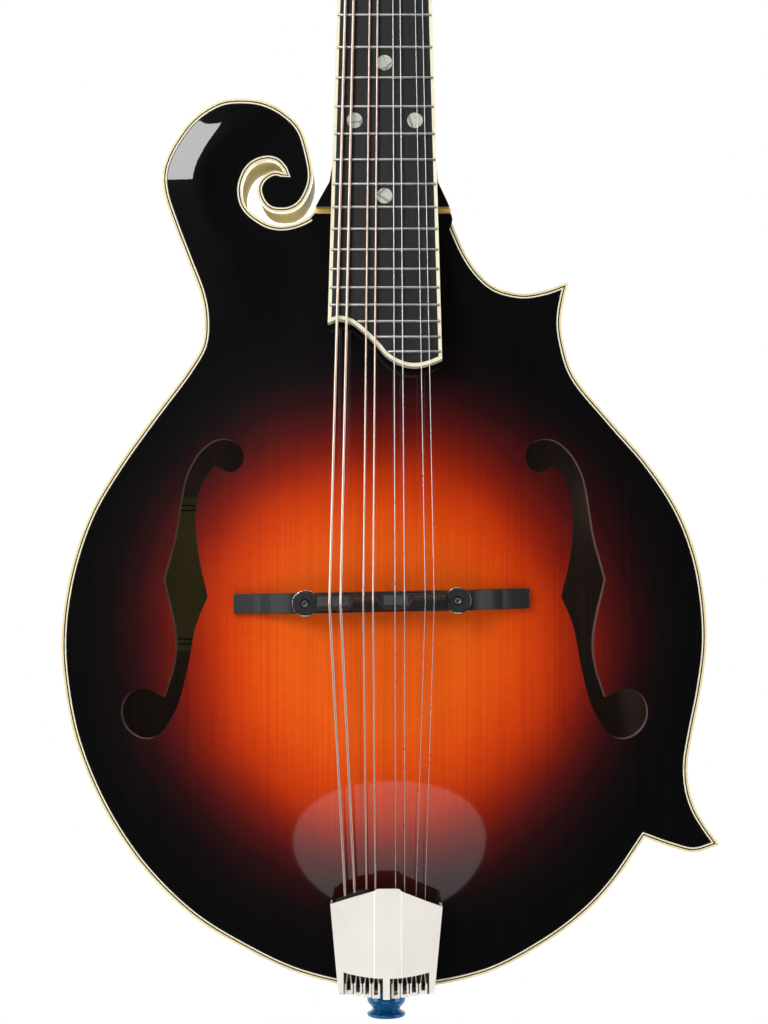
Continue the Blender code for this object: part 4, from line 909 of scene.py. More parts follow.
def build_joint_strip():
    """The strip of binding that crosses the top at the neck joint."""
    down_span = (NECK_JOINT - 0.4, NECK_JOINT + 1.5)
    strips = [box("strip", x_span, down_span, (TOP_EDGE - 0.25, TOP_EDGE + 1.0)) for x_span in
              ((JOINT_BASS[0], -19.0), (19.0, JOINT_TREBLE[0]))]
    place_piece(soften(join("joint_strip", strips), 0.15, 2), LOOKS["joint_strip"])


# ---- Neck ----
NECK_SECTIONS = [  # down, half width, y of the back, squareness of the section
    (-24.0, 12.0, 15.6, 0.6), (-12.0, 13.6, 13.0, 0.65), (0.0, 14.9, 12.0, 0.75), (60.0, 16.3, 7.2, 0.75),
    (120.0, 17.9, 2.2, 0.75), (165.0, 19.1, -0.5, 0.75), (180.0, 19.5, 2.5, 0.8), (188.0, 19.9, 8.0, 0.9),
    (193.5, 20.6, 14.0, 0.95), (197.0, 22.4, 19.0, 1.0), (200.5, 24.2, 23.0, 1.0),
    (NECK_JOINT - 0.4, 25.4, 25.3, 1.0),
]
WOOD_TOP = BOARD_THICK + 0.02
HEEL_LEAN = -0.75  # the heel reaches further to the bass side


def board_y(down, depth=0.0):
    """y of a plane at a depth under the board's surface."""
    return NUT_FRONT - down * math.tan(NECK_TILT) + depth / math.cos(NECK_TILT)


def head_y(down, depth):
    """y of a plane at a depth under the headstock's face."""
    return NUT_FRONT + HEAD_STEP + (-down - NUT_LENGTH) * math.tan(HEAD_TILT) + depth / math.cos(HEAD_TILT)


def neck_loft():
    """The shaft and heel: a grid wrapped round smooth sections, with its two ends filled."""
    around = 40
    sections = [tuple(p) for p in smooth_rows(NECK_SECTIONS, 4.0)]
    work = bmesh.new()
    bmesh.ops.create_grid(work, x_segments=around + 1, y_segments=len(sections) - 1, size=0.5)
    for vert in work.verts:
        section = round((vert.co.y + 0.5) * (len(sections) - 1))
        share = round((vert.co.x + 0.5) * (around + 1)) % (around + 1) / around
        down, half, back, squareness = sections[section]
        front = board_y(down, WOOD_TOP) if down >= -3.0 else head_y(down, OVERLAY + 3.0)
        angle = math.pi * share
        across = math.copysign(abs(math.cos(angle)) ** squareness, math.cos(angle))
        lean = HEEL_LEAN * min(1.0, max(0.0, (down - 186.0) / 17.0))
        vert.co = Vector((half * across + lean, front + (back - front) * math.sin(angle) ** 0.9, -down)) * MM
    bmesh.ops.remove_doubles(work, verts=work.verts, dist=1e-7)
    bmesh.ops.holes_fill(work, edges=[e for e in work.edges if e.is_boundary], sides=0)
    bmesh.ops.recalc_face_normals(work, faces=work.faces)
    return from_bmesh("neck_body", work)


def smooth_rows(rows, step):
    """As smooth_run, for rows of any length; the step is along the first value."""
    rows = [np.array(row, dtype=float) for row in rows]
    rows = [2 * rows[0] - rows[1]] + rows + [2 * rows[-1] - rows[-2]]
    result = []
    for a, b, c, d in zip(rows, rows[1:], rows[2:], rows[3:]):
        count = max(1, round(abs(c[0] - b[0]) / step))
        slope_b, slope_c = (c - a) / (c[0] - a[0]), (d - b) / (d[0] - b[0])
        span = c[0] - b[0]
        for index in range(count):
            t = index / count
            result.append((2 * t**3 - 3 * t**2 + 1) * b + (t**3 - 2 * t**2 + t) * span * slope_b
                          + (3 * t**2 - 2 * t**3) * c + (t**3 - t**2) * span * slope_c)
    result.append(rows[-2])
    return result


def side_prism(name, profile, half_width):
    """A prism across the neck. The profile is (down, y)."""
    turned_frame = Matrix(((0, 0, 1, 0), (0, 1, 0, 0), (-1, 0, 0, 0), (0, 0, 0, 1)))
    return prism(name, [profile], -half_width, half_width, turned_frame)


def build_neck():
    neck = neck_loft()
    seat_end = 247.0
    riser = [(199.0, board_y(199.0, WOOD_TOP + 0.1)), (seat_end, board_y(seat_end, WOOD_TOP + 0.1)),
             (seat_end, -22.6), (225.0, -18.4), (NECK_JOINT + 0.5, -18.2), (199.0, -18.2)]
    neck = combine(neck, "UNION", side_prism("riser", riser, 19.6))
    cheeks = [(-26.6, 205.3), (25.3, 205.3), (25.9, 207.4), (25.4, 209.4), (23.9, 213.0), (20.9, 217.4),
              (-21.6, 217.4), (-28.0, 206.9)]
    cheek_front, cheek_back = TOP_EDGE - 1.6, TOP_EDGE + 0.4
    neck = combine(neck, "UNION", prism("cheeks", [cheeks], cheek_front, cheek_back))
    head = prism("head", [outline(HEAD_RUNS)], OVERLAY, HEAD_THICK, HEAD)
    neck = combine(neck, "UNION", head)
    neck = combine(neck, "DIFFERENCE", box("rod_pocket", (-4.8, 4.8), (-25.0, -5.0), (-5.0, 15.0), NECK))
    holes = join("holes", [
        cylinder("post_hole", POST_HOLE, (-6.0, 24.0), moved(HEAD, side * POST_X, down))
        for side in (-1, 1) for down in POSTS_DOWN
    ])
    neck = combine(neck, "DIFFERENCE", holes)
    place_piece(shade(neck, 38.0), LOOKS["lacquer"], replaces=["neck"])


def board_half(down):
    return BOARD_HALF_AT_NUT + BOARD_SPREAD * down


def fret_down(number):
    return SCALE * (1 - 2 ** (-number / 12))


def bass_end(down, end_curve):
    """x where a fret meets the board's curved end, or its bass edge."""
    beyond = [x for x, limit in end_curve if limit > down + 1.2]
    return min(beyond) if down > min(limit for _, limit in end_curve) - 1.0 else -board_half(down)


FRET_ENDS = [(0.0, 0.45), (0.25, 0.8), (0.6, 1.0)]  # in from a fret's end, share of its full thickness


def build_fingerboard():
    end_curve = [tuple(point) for point in smooth_run(BOARD_END, 0.8)]
    edge = [(board_half(0.1), 0.1), (-board_half(0.1), 0.1)] + end_curve
    inner = inset(edge, BOARD_EDGING)
    board = soften(prism("board", [inner], 0.0, BOARD_THICK, NECK), 0.08, 1)
    place_piece(board, LOOKS["board"], replaces=["fingerboard"])
    edging = soften(prism("board_edging", [edge, inner], 0.0, BOARD_THICK, NECK), 0.2, 2)
    place_piece(edging, LOOKS["board_edging"], replaces=["fingerboard_binding"])

    wires = []
    for number in range(1, FRETS + 1):
        down = fret_down(number)
        low, high = bass_end(down, end_curve) + 0.35, board_half(down) - 0.35
        spots = [(low + inward, size) for inward, size in FRET_ENDS]
        spots += [(high - inward, size) for inward, size in reversed(FRET_ENDS)]
        points = [NECK @ (Vector((x, down, -0.12)) * MM) for x, _ in spots]
        wires.append(tube("fret", points, FRET_RADIUS, 4, [size for _, size in spots]))
    place_piece(shade(join("fret_wires", wires), 50.0), LOOKS["fret"])

    dots = []
    for number, x in DOTS:
        middle = (fret_down(number) + fret_down(number - 1)) / 2
        dots.append(prism("dot", [circle(x, middle, DOT_RADIUS, 40)], -0.06, 0.4, NECK))
    place_piece(shade(join("position_dots", dots)), LOOKS["pearl"])


def build_nut():
    """The bone nut, with a groove for each string."""
    x_span = (-BOARD_HALF_AT_NUT, BOARD_HALF_AT_NUT)
    nut = soften(box("bone_nut", x_span, (-NUT_LENGTH, 0.0), (-1.45, BOARD_THICK), NECK), 0.6, 3)
    grooves = []
    for x, _, _, size, _, _ in STRINGS:
        along = moved(NECK, x, 0.0, -STRING_OVER_NUT - size / 2) @ QUARTER_X
        grooves.append(cylinder("groove", size / 2 + 0.06, (-9.0, 9.0), along, 12))
    nut = combine(nut, "DIFFERENCE", join("grooves", grooves))
    place_piece(shade(nut, 30.0), LOOKS["bone"], replaces=["nut"])


def build_headstock():
    edge = outline(HEAD_RUNS)
    lip = inset(edge, 1.4)
    holes = [circle(side * POST_X, down, POST_HOLE) for side in (-1, 1) for down in POSTS_DOWN]
    pocket = [(-5.0, -22.0), (5.0, -22.0), (5.0, -2.5), (-5.0, -2.5)]
    veneer = prism("headstock_veneer", [lip, pocket] + holes, -0.05, OVERLAY, HEAD)
    veneer = soften(veneer, 0.1, 1)
    place_piece(veneer, LOOKS["lacquer"], replaces=["headstock_overlay"])
    rim = soften(prism("headstock_edging", [edge, lip], -0.08, OVERLAY + 1.2, HEAD), 0.2, 2)
    place_piece(rim, LOOKS["ivoroid"])
    right = [(6.0, -122.0), (2.2, -119.5), (6.0, -117.0)]
    diamond = [(0.0, -131.0)] + right + [(0.0, -96.0)] + mirrored(right)
    place_piece(prism("headstock_inlay", [diamond], -0.09, 0.5, HEAD), LOOKS["pearl"])


def build_rod_cover():
    """The bell-shaped cover over the truss rod's pocket."""
    right = [(7.5, -3.0), (9.6, -5.0), (8.2, -10.0), (6.2, -15.0), (5.6, -21.0), (3.4, -27.0)]
    bell = smooth_loop([(0.0, -2.6)] + right + [(0.0, -31.5)] + mirrored(right), 1.0)
    field = inset(bell, 0.9)
    plate = soften(prism("cover_plate", [field], -1.75, -0.12, HEAD), 0.3, 2)
    place_piece(plate, LOOKS["lacquer"], replaces=["truss_rod_cover"])
    border = soften(prism("cover_edge", [bell, field], -1.6, -0.12, HEAD), 0.15, 2)
    place_piece(border, LOOKS["white_ply"])
    screws = [screw_head(moved(HEAD, 0.0, down, -1.7), 1.5) for down in (-6.0, -27.0)]
    place_piece(shade(join("cover_screws", screws), 30.0), LOOKS["chrome"])


def screw_head(base, radius, outward=-1.0):
    """A domed slotted screw head on a frame's depth axis, facing out."""
    top = outward * radius * 0.5
    profile = [(0.0, top), (radius * 0.55, top * 0.88), (radius * 0.9, top * 0.5), (radius, 0.0),
               (radius * 0.9, -outward * 0.4), (0.0, -outward * 0.4)]
    head = turned("screw", profile, base, 20)
    slot = box("slot", (-radius * 1.2, radius * 1.2), (-radius * 0.14, radius * 0.14),
               sorted((top * 0.45, top * 2.0)), base)
    return combine(head, "DIFFERENCE", slot)


# ---- Tuners ----
def gear_outline():
    loop = []
    for tooth in range(TEETH):
        middle = math.pi / 2 + math.tau * tooth / TEETH
        for radius, width in ((GEAR_ROOT, -0.62), (GEAR_TIP - 0.12, -0.16), (GEAR_TIP, 0.0),
                              (GEAR_TIP - 0.12, 0.16), (GEAR_ROOT, 0.62)):
            angle = middle + width / radius
            loop.append((radius * math.cos(angle), radius * math.sin(angle)))
    return loop


def worm_thread(base):
    """Two turns of thread about local z, with a gap facing the gear's tooth."""
    turns, steps = 2.0, 32
    start = -turns * THREAD_PITCH / 2
    root, tip = WORM_ROOT - 0.2, WORM_TIP - 0.1
    profile = [(root, -0.55), (tip, -0.12), (tip, 0.12), (root, 0.55)]
    work = bmesh.new()
    verts = [work.verts.new((radius * MM, 0.0, height * MM)) for radius, height in profile]
    for first, second in zip(verts, verts[1:] + verts[:1]):
        work.edges.new((first, second))
    item = from_bmesh("thread", work, base @ Matrix.Translation((0.0, 0.0, start * MM)))
    screw = item.modifiers.new("helix", "SCREW")
    screw.angle = math.tau * turns
    screw.steps = screw.render_steps = round(steps * turns)
    screw.screw_offset = THREAD_PITCH * turns * MM
    item = settle(item)
    work = bmesh.new()
    work.from_mesh(item.data)
    bmesh.ops.holes_fill(work, edges=[e for e in work.edges if e.is_boundary], sides=0)
    bmesh.ops.recalc_face_normals(work, faces=work.faces)
    work.to_mesh(item.data)
    work.free()
    return item


def knob_button(axis, side):
    """The pearl button: a swelling oval, flat across the shaft."""
    work = bmesh.new()
    bmesh.ops.create_uvsphere(work, u_segments=40, v_segments=24, radius=1.0)
    for vert in work.verts:
        x, y, z = vert.co
        plump = 1.0 - 0.28 * (x * x + z * z)
        stem = 1.0 - 0.22 * max(0.0, -side * z)
        vert.co = Vector((x * 6.2 * stem, math.copysign(abs(y) ** 0.8, y) * 3.1 * plump, z * 7.6)) * MM
    middle = axis @ Matrix.Translation(Vector((0, 0, side * 25.5)) * MM)
    return settle(from_bmesh("button", work, middle))


def tuner_number(side, index):
    """The record's number: 1 to 4 up from the nut on the bass side, then 5 to 8 on the treble side."""
    return index + 1 + (4 if side > 0 else 0)


def build_post(side, index):
    """A string post with its hole, gear, screw and bushing."""
    number = tuner_number(side, index)
    centre = moved(HEAD, side * POST_X, POSTS_DOWN[index])
    profile = [(0.0, POST_FRONT), (2.1, POST_FRONT), (2.6, POST_FRONT + 0.5), (2.7, POST_FRONT + 2.2),
               (2.3, POST_FRONT + 3.4), (2.15, POST_FRONT + 5.5), (2.3, POST_FRONT + 7.6),
               (2.9, POST_FRONT + 9.6), (2.9, POST_BACK - 0.6), (2.4, POST_BACK), (0.0, POST_BACK)]
    post = turned(f"post_{number}_shaft", profile, centre, 40)
    hole = cylinder("string_hole", 0.8, (-5.0, 5.0), moved(centre, depth=POST_FRONT + 5.2) @ QUARTER_X, 16)
    post = combine(post, "DIFFERENCE", hole)
    place_piece(shade(post, 35.0), LOOKS["chrome"], f"post_{number}", [f"tuner_post_{number}"])
    gear = prism(f"post_{number}_gear", [gear_outline(), circle(0, 0, 2.9)], GEAR_MIDDLE - GEAR_THICK / 2,
                 GEAR_MIDDLE + GEAR_THICK / 2, centre)
    place_piece(soften(gear, 0.08, 1), LOOKS["brass"], f"post_{number}")
    screw = screw_head(moved(centre, depth=POST_BACK), 1.9, 1.0)
    place_piece(shade(screw, 30.0), LOOKS["chrome"], f"post_{number}")
    screw.name = f"post_{number}_screw"
    ring = [(3.0, 1.0), (3.0, -2.0), (3.7, -1.9), (4.6, -0.9), (5.0, -0.05), (3.0, -0.05)]
    ferrule = turned(f"bushing_{number}", ring, centre, 40)
    place_piece(shade(ferrule, 35.0), LOOKS["chrome"], ROOT)


def build_knob(side, index):
    """A worm on its shaft, with the pearl button at the outer end."""
    number = tuner_number(side, index)
    axis = moved(HEAD, side * POST_X, POSTS_DOWN[index] + WORM_OFFSET, GEAR_MIDDLE) @ QUARTER_Y
    inner_end, outer_end = -7.5, 18.6
    profile = [(0.0, inner_end), (1.3, inner_end), (WORM_ROOT, -6.9), (WORM_ROOT, 12.0), (1.9, 13.5),
               (2.6, 16.6), (2.6, 17.6), (1.8, outer_end), (0.0, outer_end)]
    shaft = turned("shaft", [(radius, side * along) for radius, along in profile], axis, 32)
    thread = worm_thread(axis @ Matrix.Rotation(math.pi, 4, "Z"))
    worm = shade(join(f"knob_{number}_shaft", [shaft, thread]), 35.0)
    place_piece(worm, LOOKS["chrome"], f"knob_{number}", [f"tuner_knob_{number}"])
    button = knob_button(axis, side)
    button.name = f"knob_{number}_button"
    place_piece(shade(button, 60.0), LOOKS["button_pearl"], f"knob_{number}")


def build_tuner_plate(node, side):
    top, bottom = POSTS_DOWN[-1] - 10.0, POSTS_DOWN[0] + 14.0
    middle = side * POST_X
    end = [(8.0, 6.0), (3.5, 2.5), (0.0, 0.0), (-3.5, 2.5), (-8.0, 6.0)]  # x, how far in from the tip
    edge = [(middle + x, bottom - inward) for x, inward in end]
    edge += [(middle - x, top + inward) for x, inward in end]
    holes = [circle(middle, down, POST_RADIUS + 0.15) for down in POSTS_DOWN]
    front, back = HEAD_THICK + 0.02, HEAD_THICK + 1.5
    parts = [soften(prism("plate", [edge] + holes, front, back, HEAD), 0.3, 2)]
    upright = HEAD @ Matrix(((0, 0, 1, 0), (1, 0, 0, 0), (0, 1, 0, 0), (0, 0, 0, 1)))
    crown = [(3.0, 0.6), (2.2, 2.2), (0.0, 3.0), (-2.2, 2.2), (-3.0, 0.6)]  # a lug's top, about its shaft
    for down in POSTS_DOWN:
        worm_down = down + WORM_OFFSET
        lug = [(worm_down - 3.0, back - 0.3), (worm_down + 3.0, back - 0.3)]
        lug += [(worm_down + across, GEAR_MIDDLE + high) for across, high in crown]
        bore = [(worm_down + y, GEAR_MIDDLE + z) for y, z in circle(0, 0, WORM_ROOT + 0.12, 24)]
        for x in (middle - 5.4, middle + 5.4):
            parts.append(soften(prism("lug", [lug, bore], x - 0.7, x + 0.7, upright), 0.15, 1))
    place_piece(join(f"{node}_detailed", parts), LOOKS["chrome"], replaces=[node])
    spots = [(0.0, bottom - 4.0), (0.0, top + 4.0)]
    spots += [(side * -5.6, (a + b) / 2 - 3.2) for a, b in zip(POSTS_DOWN, POSTS_DOWN[1:])]
    screws = [screw_head(moved(HEAD, middle + x, down, back), 1.4, 1.0) for x, down in spots]
    place_piece(shade(join(f"{node}_screws", screws), 30.0), LOOKS["chrome"])


# ---- Bridge ----
def bridge_bottom(x):
    spot = np.array([(x + BRIDGE_X, BRIDGE_DOWN)])
    return float(face_depth(spot, TOP_EDGE, TOP_CREST, scroll=False)[0]) - 0.03


def build_bridge_base():
    half, deep = BRIDGE_LENGTH / 2, BRIDGE_WIDTH / 2
    foot = [(x, bridge_bottom(x)) for x in np.linspace(-half, half, 60)]
    end_high = 3.6
    top = [(half, foot[-1][1] - end_high), (half - 6.0, foot[-1][1] - end_high - 0.6)]
    rise = [(46.0, -31.9), (42.0, -33.2), (38.0, -35.6), (35.2, -37.2), (33.6, BASE_FRONT)]
    shoulder = [tuple(p) for p in smooth_run(rise, 0.8)]
    top += shoulder + mirrored(shoulder)
    top += [(-half + 6.0, foot[0][1] - end_high - 0.6), (-half, foot[0][1] - end_high)]
    base = soften(prism("bridge_foot", [foot + top], -deep, deep, BRIDGE @ QUARTER_X), 0.5, 3, 30.0)
    place_piece(base, LOOKS["ebony"], replaces=["bridge_base"])


def build_saddle():
    ear = 4.4
    right = [(STUD_X + ear * math.cos(a), ear * math.sin(a)) for a in np.linspace(-2.15, 2.15, 25)]
    left = [(-x, -y) for x, y in right]
    low_bar, high_bar = [(23.5, 3.1), (-23.5, 3.1)], [(-23.5, -3.1), (23.5, -3.1)]
    holes = [circle(side * STUD_X, 0.0, STUD_RADIUS + 0.15, 28) for side in (-1, 1)]
    back = BASE_FRONT - WHEEL_THICK - 0.45
    ears = prism("saddle_body", [right + low_bar + left + high_bar] + holes, SADDLE_FRONT + 2.6, back, BRIDGE)
    place_piece(soften(ears, 0.35, 2), LOOKS["ebony"], "saddle", ["bridge_saddle"])
    place_piece(saddle_crest(), LOOKS["ebony"], "saddle")


KNURLS = 120


def build_adjuster(side, name):
    """A threaded stud in the bridge's base, and the thumbwheel that turns on it."""
    axis = moved(BRIDGE, side * STUD_X)
    level, stud_low = SADDLE_FRONT + 3.4, BASE_FRONT + 5.0
    ridges = []
    while level < stud_low:
        ridges += [(STUD_RADIUS - 0.02, level), (STUD_RADIUS - 0.25, level + 0.35)]
        level += 0.7
    profile = [(0.0, SADDLE_FRONT + 4.2), (0.75, SADDLE_FRONT + 4.2), (0.8, SADDLE_FRONT + 3.0),
               (1.2, SADDLE_FRONT + 3.0)] + ridges + [(STUD_RADIUS - 0.3, stud_low), (0.0, stud_low)]
    stud = turned(f"stud_{name}", profile, axis, 32)
    place_piece(shade(stud, 30.0), LOOKS["steel"], replaces=[f"bridge_stud_{name}"])
    knurl = []
    for i in range(KNURLS):
        radius = WHEEL_RADIUS - (0.16 if i % 2 else 0.0)
        knurl.append((radius * math.cos(math.tau * i / KNURLS), radius * math.sin(math.tau * i / KNURLS)))
    low, high = BASE_FRONT - 0.25 - WHEEL_THICK, BASE_FRONT - 0.25
    wheel = prism(f"wheel_{name}", [knurl, circle(0, 0, STUD_RADIUS + 0.02, 24)], low, high, axis)
    place_piece(soften(wheel, 0.12, 1), LOOKS["chrome"], f"wheel_{name}", [f"thumbwheel_{name}"])


def saddle_crest():
    """The string line: a bevelled ridge that steps forward and back for each pair of strings."""
    steps = [(-24.0, 1.5), (-12.4, 1.5), (-9.8, -1.2), (-1.6, -1.2), (0.8, 1.5), (9.8, 1.5), (12.2, -1.2),
             (24.0, -1.2)]
    width_low, width_high = 2.9, 0.7
    base_level, crown_level = SADDLE_FRONT + 2.8, SADDLE_FRONT + 0.02
    work = bmesh.new()
    rows = []
    for x, line in steps:
        edges = [(-width_low, base_level + 1.2), (-width_low, base_level), (line - width_high, crown_level),
                 (line + width_high, crown_level), (width_low, base_level), (width_low, base_level + 1.2)]
        rows.append([work.verts.new(Vector((x, down, level)) * MM) for down, level in edges])
    for first, second in zip(rows, rows[1:]):
        for i in range(len(first)):
            following = (i + 1) % len(first)
            work.faces.new((first[i], first[following], second[following], second[i]))
    work.faces.new(rows[0])
    work.faces.new(rows[-1])
    bmesh.ops.recalc_face_normals(work, faces=work.faces)
    crest = settle(from_bmesh("saddle_crest", work, BRIDGE))
    return soften(crest, 0.12, 2, 20.0)


# ---- Tailpiece ----
COVER_TOP, COVER_LOW = -34.2, -23.0
COVER_RIDGE = (-3.6, 6.2)  # x of the two edges of the raised middle
RIDGE_STEP, RIDGE_HEIGHT = 0.4, 0.3


def cover_level(x, down):
    """Depth of the cover's outer face: a raised flat middle, and sides that fall away from it."""
    left, right = COVER_RIDGE
    away = max(left - x, x - right, 0.0)
    raised = RIDGE_HEIGHT * (1.0 - min(1.0, away / RIDGE_STEP))
    return COVER_TOP + 0.07 * away - raised + 0.012 * (down - 460.0)


def sloped_solid(name, loop, under, low):
    """A prism whose front follows the cover's face at a depth under it."""
    solid = prism(name, [loop], COVER_TOP - 2.0, low)
    left, right = COVER_RIDGE
    work = bmesh.new()
    work.from_mesh(solid.data)
    for x in (left - RIDGE_STEP, left, right, right + RIDGE_STEP):
        geometry = list(work.verts) + list(work.edges) + list(work.faces)
        bmesh.ops.bisect_plane(work, geom=geometry, plane_co=(x * MM, 0, 0), plane_no=(1, 0, 0))
    for vert in work.verts:
        if vert.co.y / MM < COVER_TOP - 1.0:
            vert.co.y = (cover_level(vert.co.x / MM, -vert.co.z / MM) + under) * MM
    work.to_mesh(solid.data)
    work.free()
    return weld(solid)


def build_tailpiece():
    left, right = COVER_RIDGE
    top = [(-20.4, 466.1), (-12.0, 463.4), (left - 0.3, 461.0), (left + 0.5, 460.3), (left + 1.5, 460.1),
           (right - 1.5, 460.1), (right - 0.5, 460.3), (right + 0.3, 461.2), (14.0, 464.2), (21.8, 467.1)]
    bottom = [(19.0, 497.4), (18.4, 499.4), (16.4, 500.0), (8.0, 501.4), (0.8, 501.8), (-6.5, 501.4),
              (-15.0, 500.0), (-17.0, 499.4), (-17.6, 497.4)]
    shell = sloped_solid("cover_shell", top + bottom, 0.0, COVER_LOW)
    hollow = [(-30.0, 440.0), (30.0, 440.0), (20.8, 467.0), (18.4, 492.0), (18.1, 496.0), (17.6, 510.0),
              (-16.2, 510.0), (-16.7, 496.0), (-17.0, 492.0), (-19.4, 467.0)]
    shell = combine(shell, "DIFFERENCE", sloped_solid("hollow", hollow, 0.7, COVER_LOW + 5.0))
    for window in window_outlines():
        shell = combine(shell, "DIFFERENCE", prism("window", [window], COVER_TOP - 4.0, COVER_TOP + 8.0))
    shell = soften(shell, 0.22, 2, 30.0)
    place_piece(shell, LOOKS["nickel"], "cover", ["tailpiece_cover"])

    felt = [(-18.8, 466.6), (-5.6, 462.4), (-5.9, 460.4), (-10.0, 461.2), (-15.0, 463.2), (-18.2, 464.4)]
    strip = soften(prism("felt_strip", [felt], COVER_TOP + 2.0, COVER_TOP + 4.2), 0.4, 2)
    place_piece(strip, LOOKS["felt"], "cover")


def window_outlines():
    """The two windows at the cover's foot, with a curved upper edge."""
    windows = []
    for x_low, x_high in ((-15.4, -0.6), (2.0, 16.8)):
        upper = [(x, 493.9 - 0.0085 * (x - 0.7) ** 2) for x in np.linspace(x_low, x_high, 12)]
        windows.append(upper + [(x_high, 510.0), (x_low, 510.0)])
    return windows


def foot_line(x):
    """How far down the row of hooks reaches at x."""
    return 502.2 - 0.0095 * (x - 0.7) ** 2


def build_tailpiece_base():
    plate_front, sheet, tail = -22.4, 1.2, 500.75
    profile = [(470.0, plate_front), (tail + sheet - 0.8, plate_front), (tail + sheet, plate_front + 0.8),
               (tail + sheet, 12.0), (tail, 12.0), (tail, plate_front + sheet), (470.0, plate_front + sheet)]
    bracket = side_prism("tail_bracket", profile, 17.0)
    downwards = BUTTON @ Matrix.Rotation(math.pi, 4, "X")
    bracket = combine(bracket, "DIFFERENCE", cylinder("bore", 3.4, (470.0, 520.0), downwards))
    # The base takes the nickel darkened as painted shade.
    place_piece(soften(bracket, 0.25, 2), LOOKS["nickel_painted_shade"], replaces=["tailpiece_base"])
    level = HOOK_FRONT - 3.4
    prongs = []
    for _, _, x, *_ in STRINGS:
        foot = foot_line(x)
        inner, outer = 0.75, 1.55
        fork = [(x - outer, foot), (x - outer, 496.6), (x - inner, 496.0), (x - inner, foot - 1.3),
                (x + inner, foot - 1.3), (x + inner, 496.0), (x + outer, 496.6), (x + outer, foot)]
        prongs.append(soften(prism("fork", [fork], level, level + 1.0), 0.2, 2))
        heel = box("heel", (x - outer, x + outer), (foot - 1.0, foot), (level + 0.5, plate_front + 0.5))
        prongs.append(soften(heel, 0.2, 2))
    place_piece(join("tail_hooks", prongs), LOOKS["nickel"])
    hook_depth = (HOOK_FRONT - 2.2, plate_front + 0.5)
    posts = [soften(box("hook", (x - 0.6, x + 0.6), (498.0, 499.6), hook_depth), 0.3, 2)
             for _, _, x, *_ in STRINGS]
    place_piece(join("hook_posts", posts), LOOKS["nickel_painted_shade"])


def build_strap_button():
    rim = [(5.6, 502.3), (6.3, 503.2), (6.9, 505.2), (7.35, 507.6), (7.4, 508.8), (6.9, 509.9), (5.9, 511.0),
           (5.25, 512.0), (5.9, 512.7), (7.0, 513.3), (7.45, 514.0), (7.1, 514.8), (5.6, 515.3), (3.0, 515.5)]
    shank, recess = [(0.0, 486.0), (3.1, 486.0), (3.1, 502.3)], [(1.6, 515.5), (1.4, 514.6), (0.0, 514.6)]
    profile = shank + [tuple(p) for p in smooth_run(rim, 0.3)] + recess
    button = turned("strap_peg", [(radius, -down) for radius, down in profile], BUTTON, 64)
    place_piece(shade(button, 35.0), LOOKS["blue"], replaces=["strap_button"])


# ---- Strings ----
def build_strings():
    """Each string in three lengths: post to nut, nut to saddle, saddle to hook."""
    for number, (nut_x, saddle_x, hook_x, size, side, tuner) in enumerate(STRINGS, 1):
        radius = size / 2
        slot = "bronze" if number <= WOUND_STRINGS else "steel"
        look = LOOKS[slot]
        post_x = side * (POST_X - WINDING_RADIUS - radius)
        post = HEAD @ (Vector((post_x, POSTS_DOWN[tuner], WINDING_FRONT)) * MM)
        nut_depth = -STRING_OVER_NUT - radius
        nut_back = NECK @ (Vector((nut_x, -NUT_LENGTH, nut_depth + 0.1)) * MM)
        nut_front = NECK @ (Vector((nut_x, 0.0, nut_depth)) * MM)
        saddle_down = BRIDGE_DOWN + saddle_x * math.tan(-BRIDGE_TURN)
        saddle = Vector((saddle_x, SADDLE_FRONT - radius, -saddle_down)) * MM
        hook = Vector((hook_x, HOOK_FRONT - 1.0 - radius, -489.0)) * MM
        head_part = tube(f"string_{number}_head", [post, nut_back, nut_front], radius, 4)
        place_piece(head_part, look, ROOT, [f"string_{number}"])
        long_part = tube(f"string_{number}_speaking", steps_between(nut_front, saddle, 24), radius, 4)
        long_part.data.materials.append(look)
        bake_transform(long_part)
        tail_part = tube(f"string_{number}_tail", steps_between(saddle, hook, 12), radius, 4)
        tail_part.data.materials.append(look)
        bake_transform(tail_part)
        build_loop_end(number, hook_x, min(radius, 0.22))
        build_winding(number, side, tuner, radius, slot)


def steps_between(start, end, count):
    return [start.lerp(end, i / count) for i in range(count + 1)]


def build_loop_end(number, x, radius):
    """The plain wire loop at the string's tail end, spread over its hook."""
    level = (HOOK_FRONT - 1.0) * MM
    foot, right = [(0.0, 500.2)], [(0.7, 499.8), (1.0, 498.8), (0.95, 496.6), (0.25, 490.5)]
    spots = foot + [(-across, down) for across, down in right] + right[::-1] + foot
    points = [((x + across) * MM, level, -down * MM) for across, down in spots]
    loop = tube(f"string_{number}_loop", points, radius + 0.06, 3)
    place_piece(loop, LOOKS["nickel"], ROOT)


def build_winding(number, side, tuner, radius, slot):
    """Turns of string on the post, down from where it arrives."""
    turns = 2.6 if number <= WOUND_STRINGS else 3.6
    steps = 20  # to a turn
    centre = moved(HEAD, side * POST_X, POSTS_DOWN[tuner])
    reach = WINDING_RADIUS + radius
    start_angle = math.pi if side > 0 else 0.0
    points = []
    for i in range(round(turns * steps) + 1):
        angle = start_angle + side * math.tau * i / steps
        depth = WINDING_FRONT + 2.1 * radius * i / steps
        points.append(centre @ (Vector((reach * math.cos(angle), reach * math.sin(angle), depth)) * MM))
    coil = tube(f"string_{number}_winding", points, radius, 3)
    place_piece(coil, LOOKS[slot], f"post_{tuner_number(side, tuner)}")


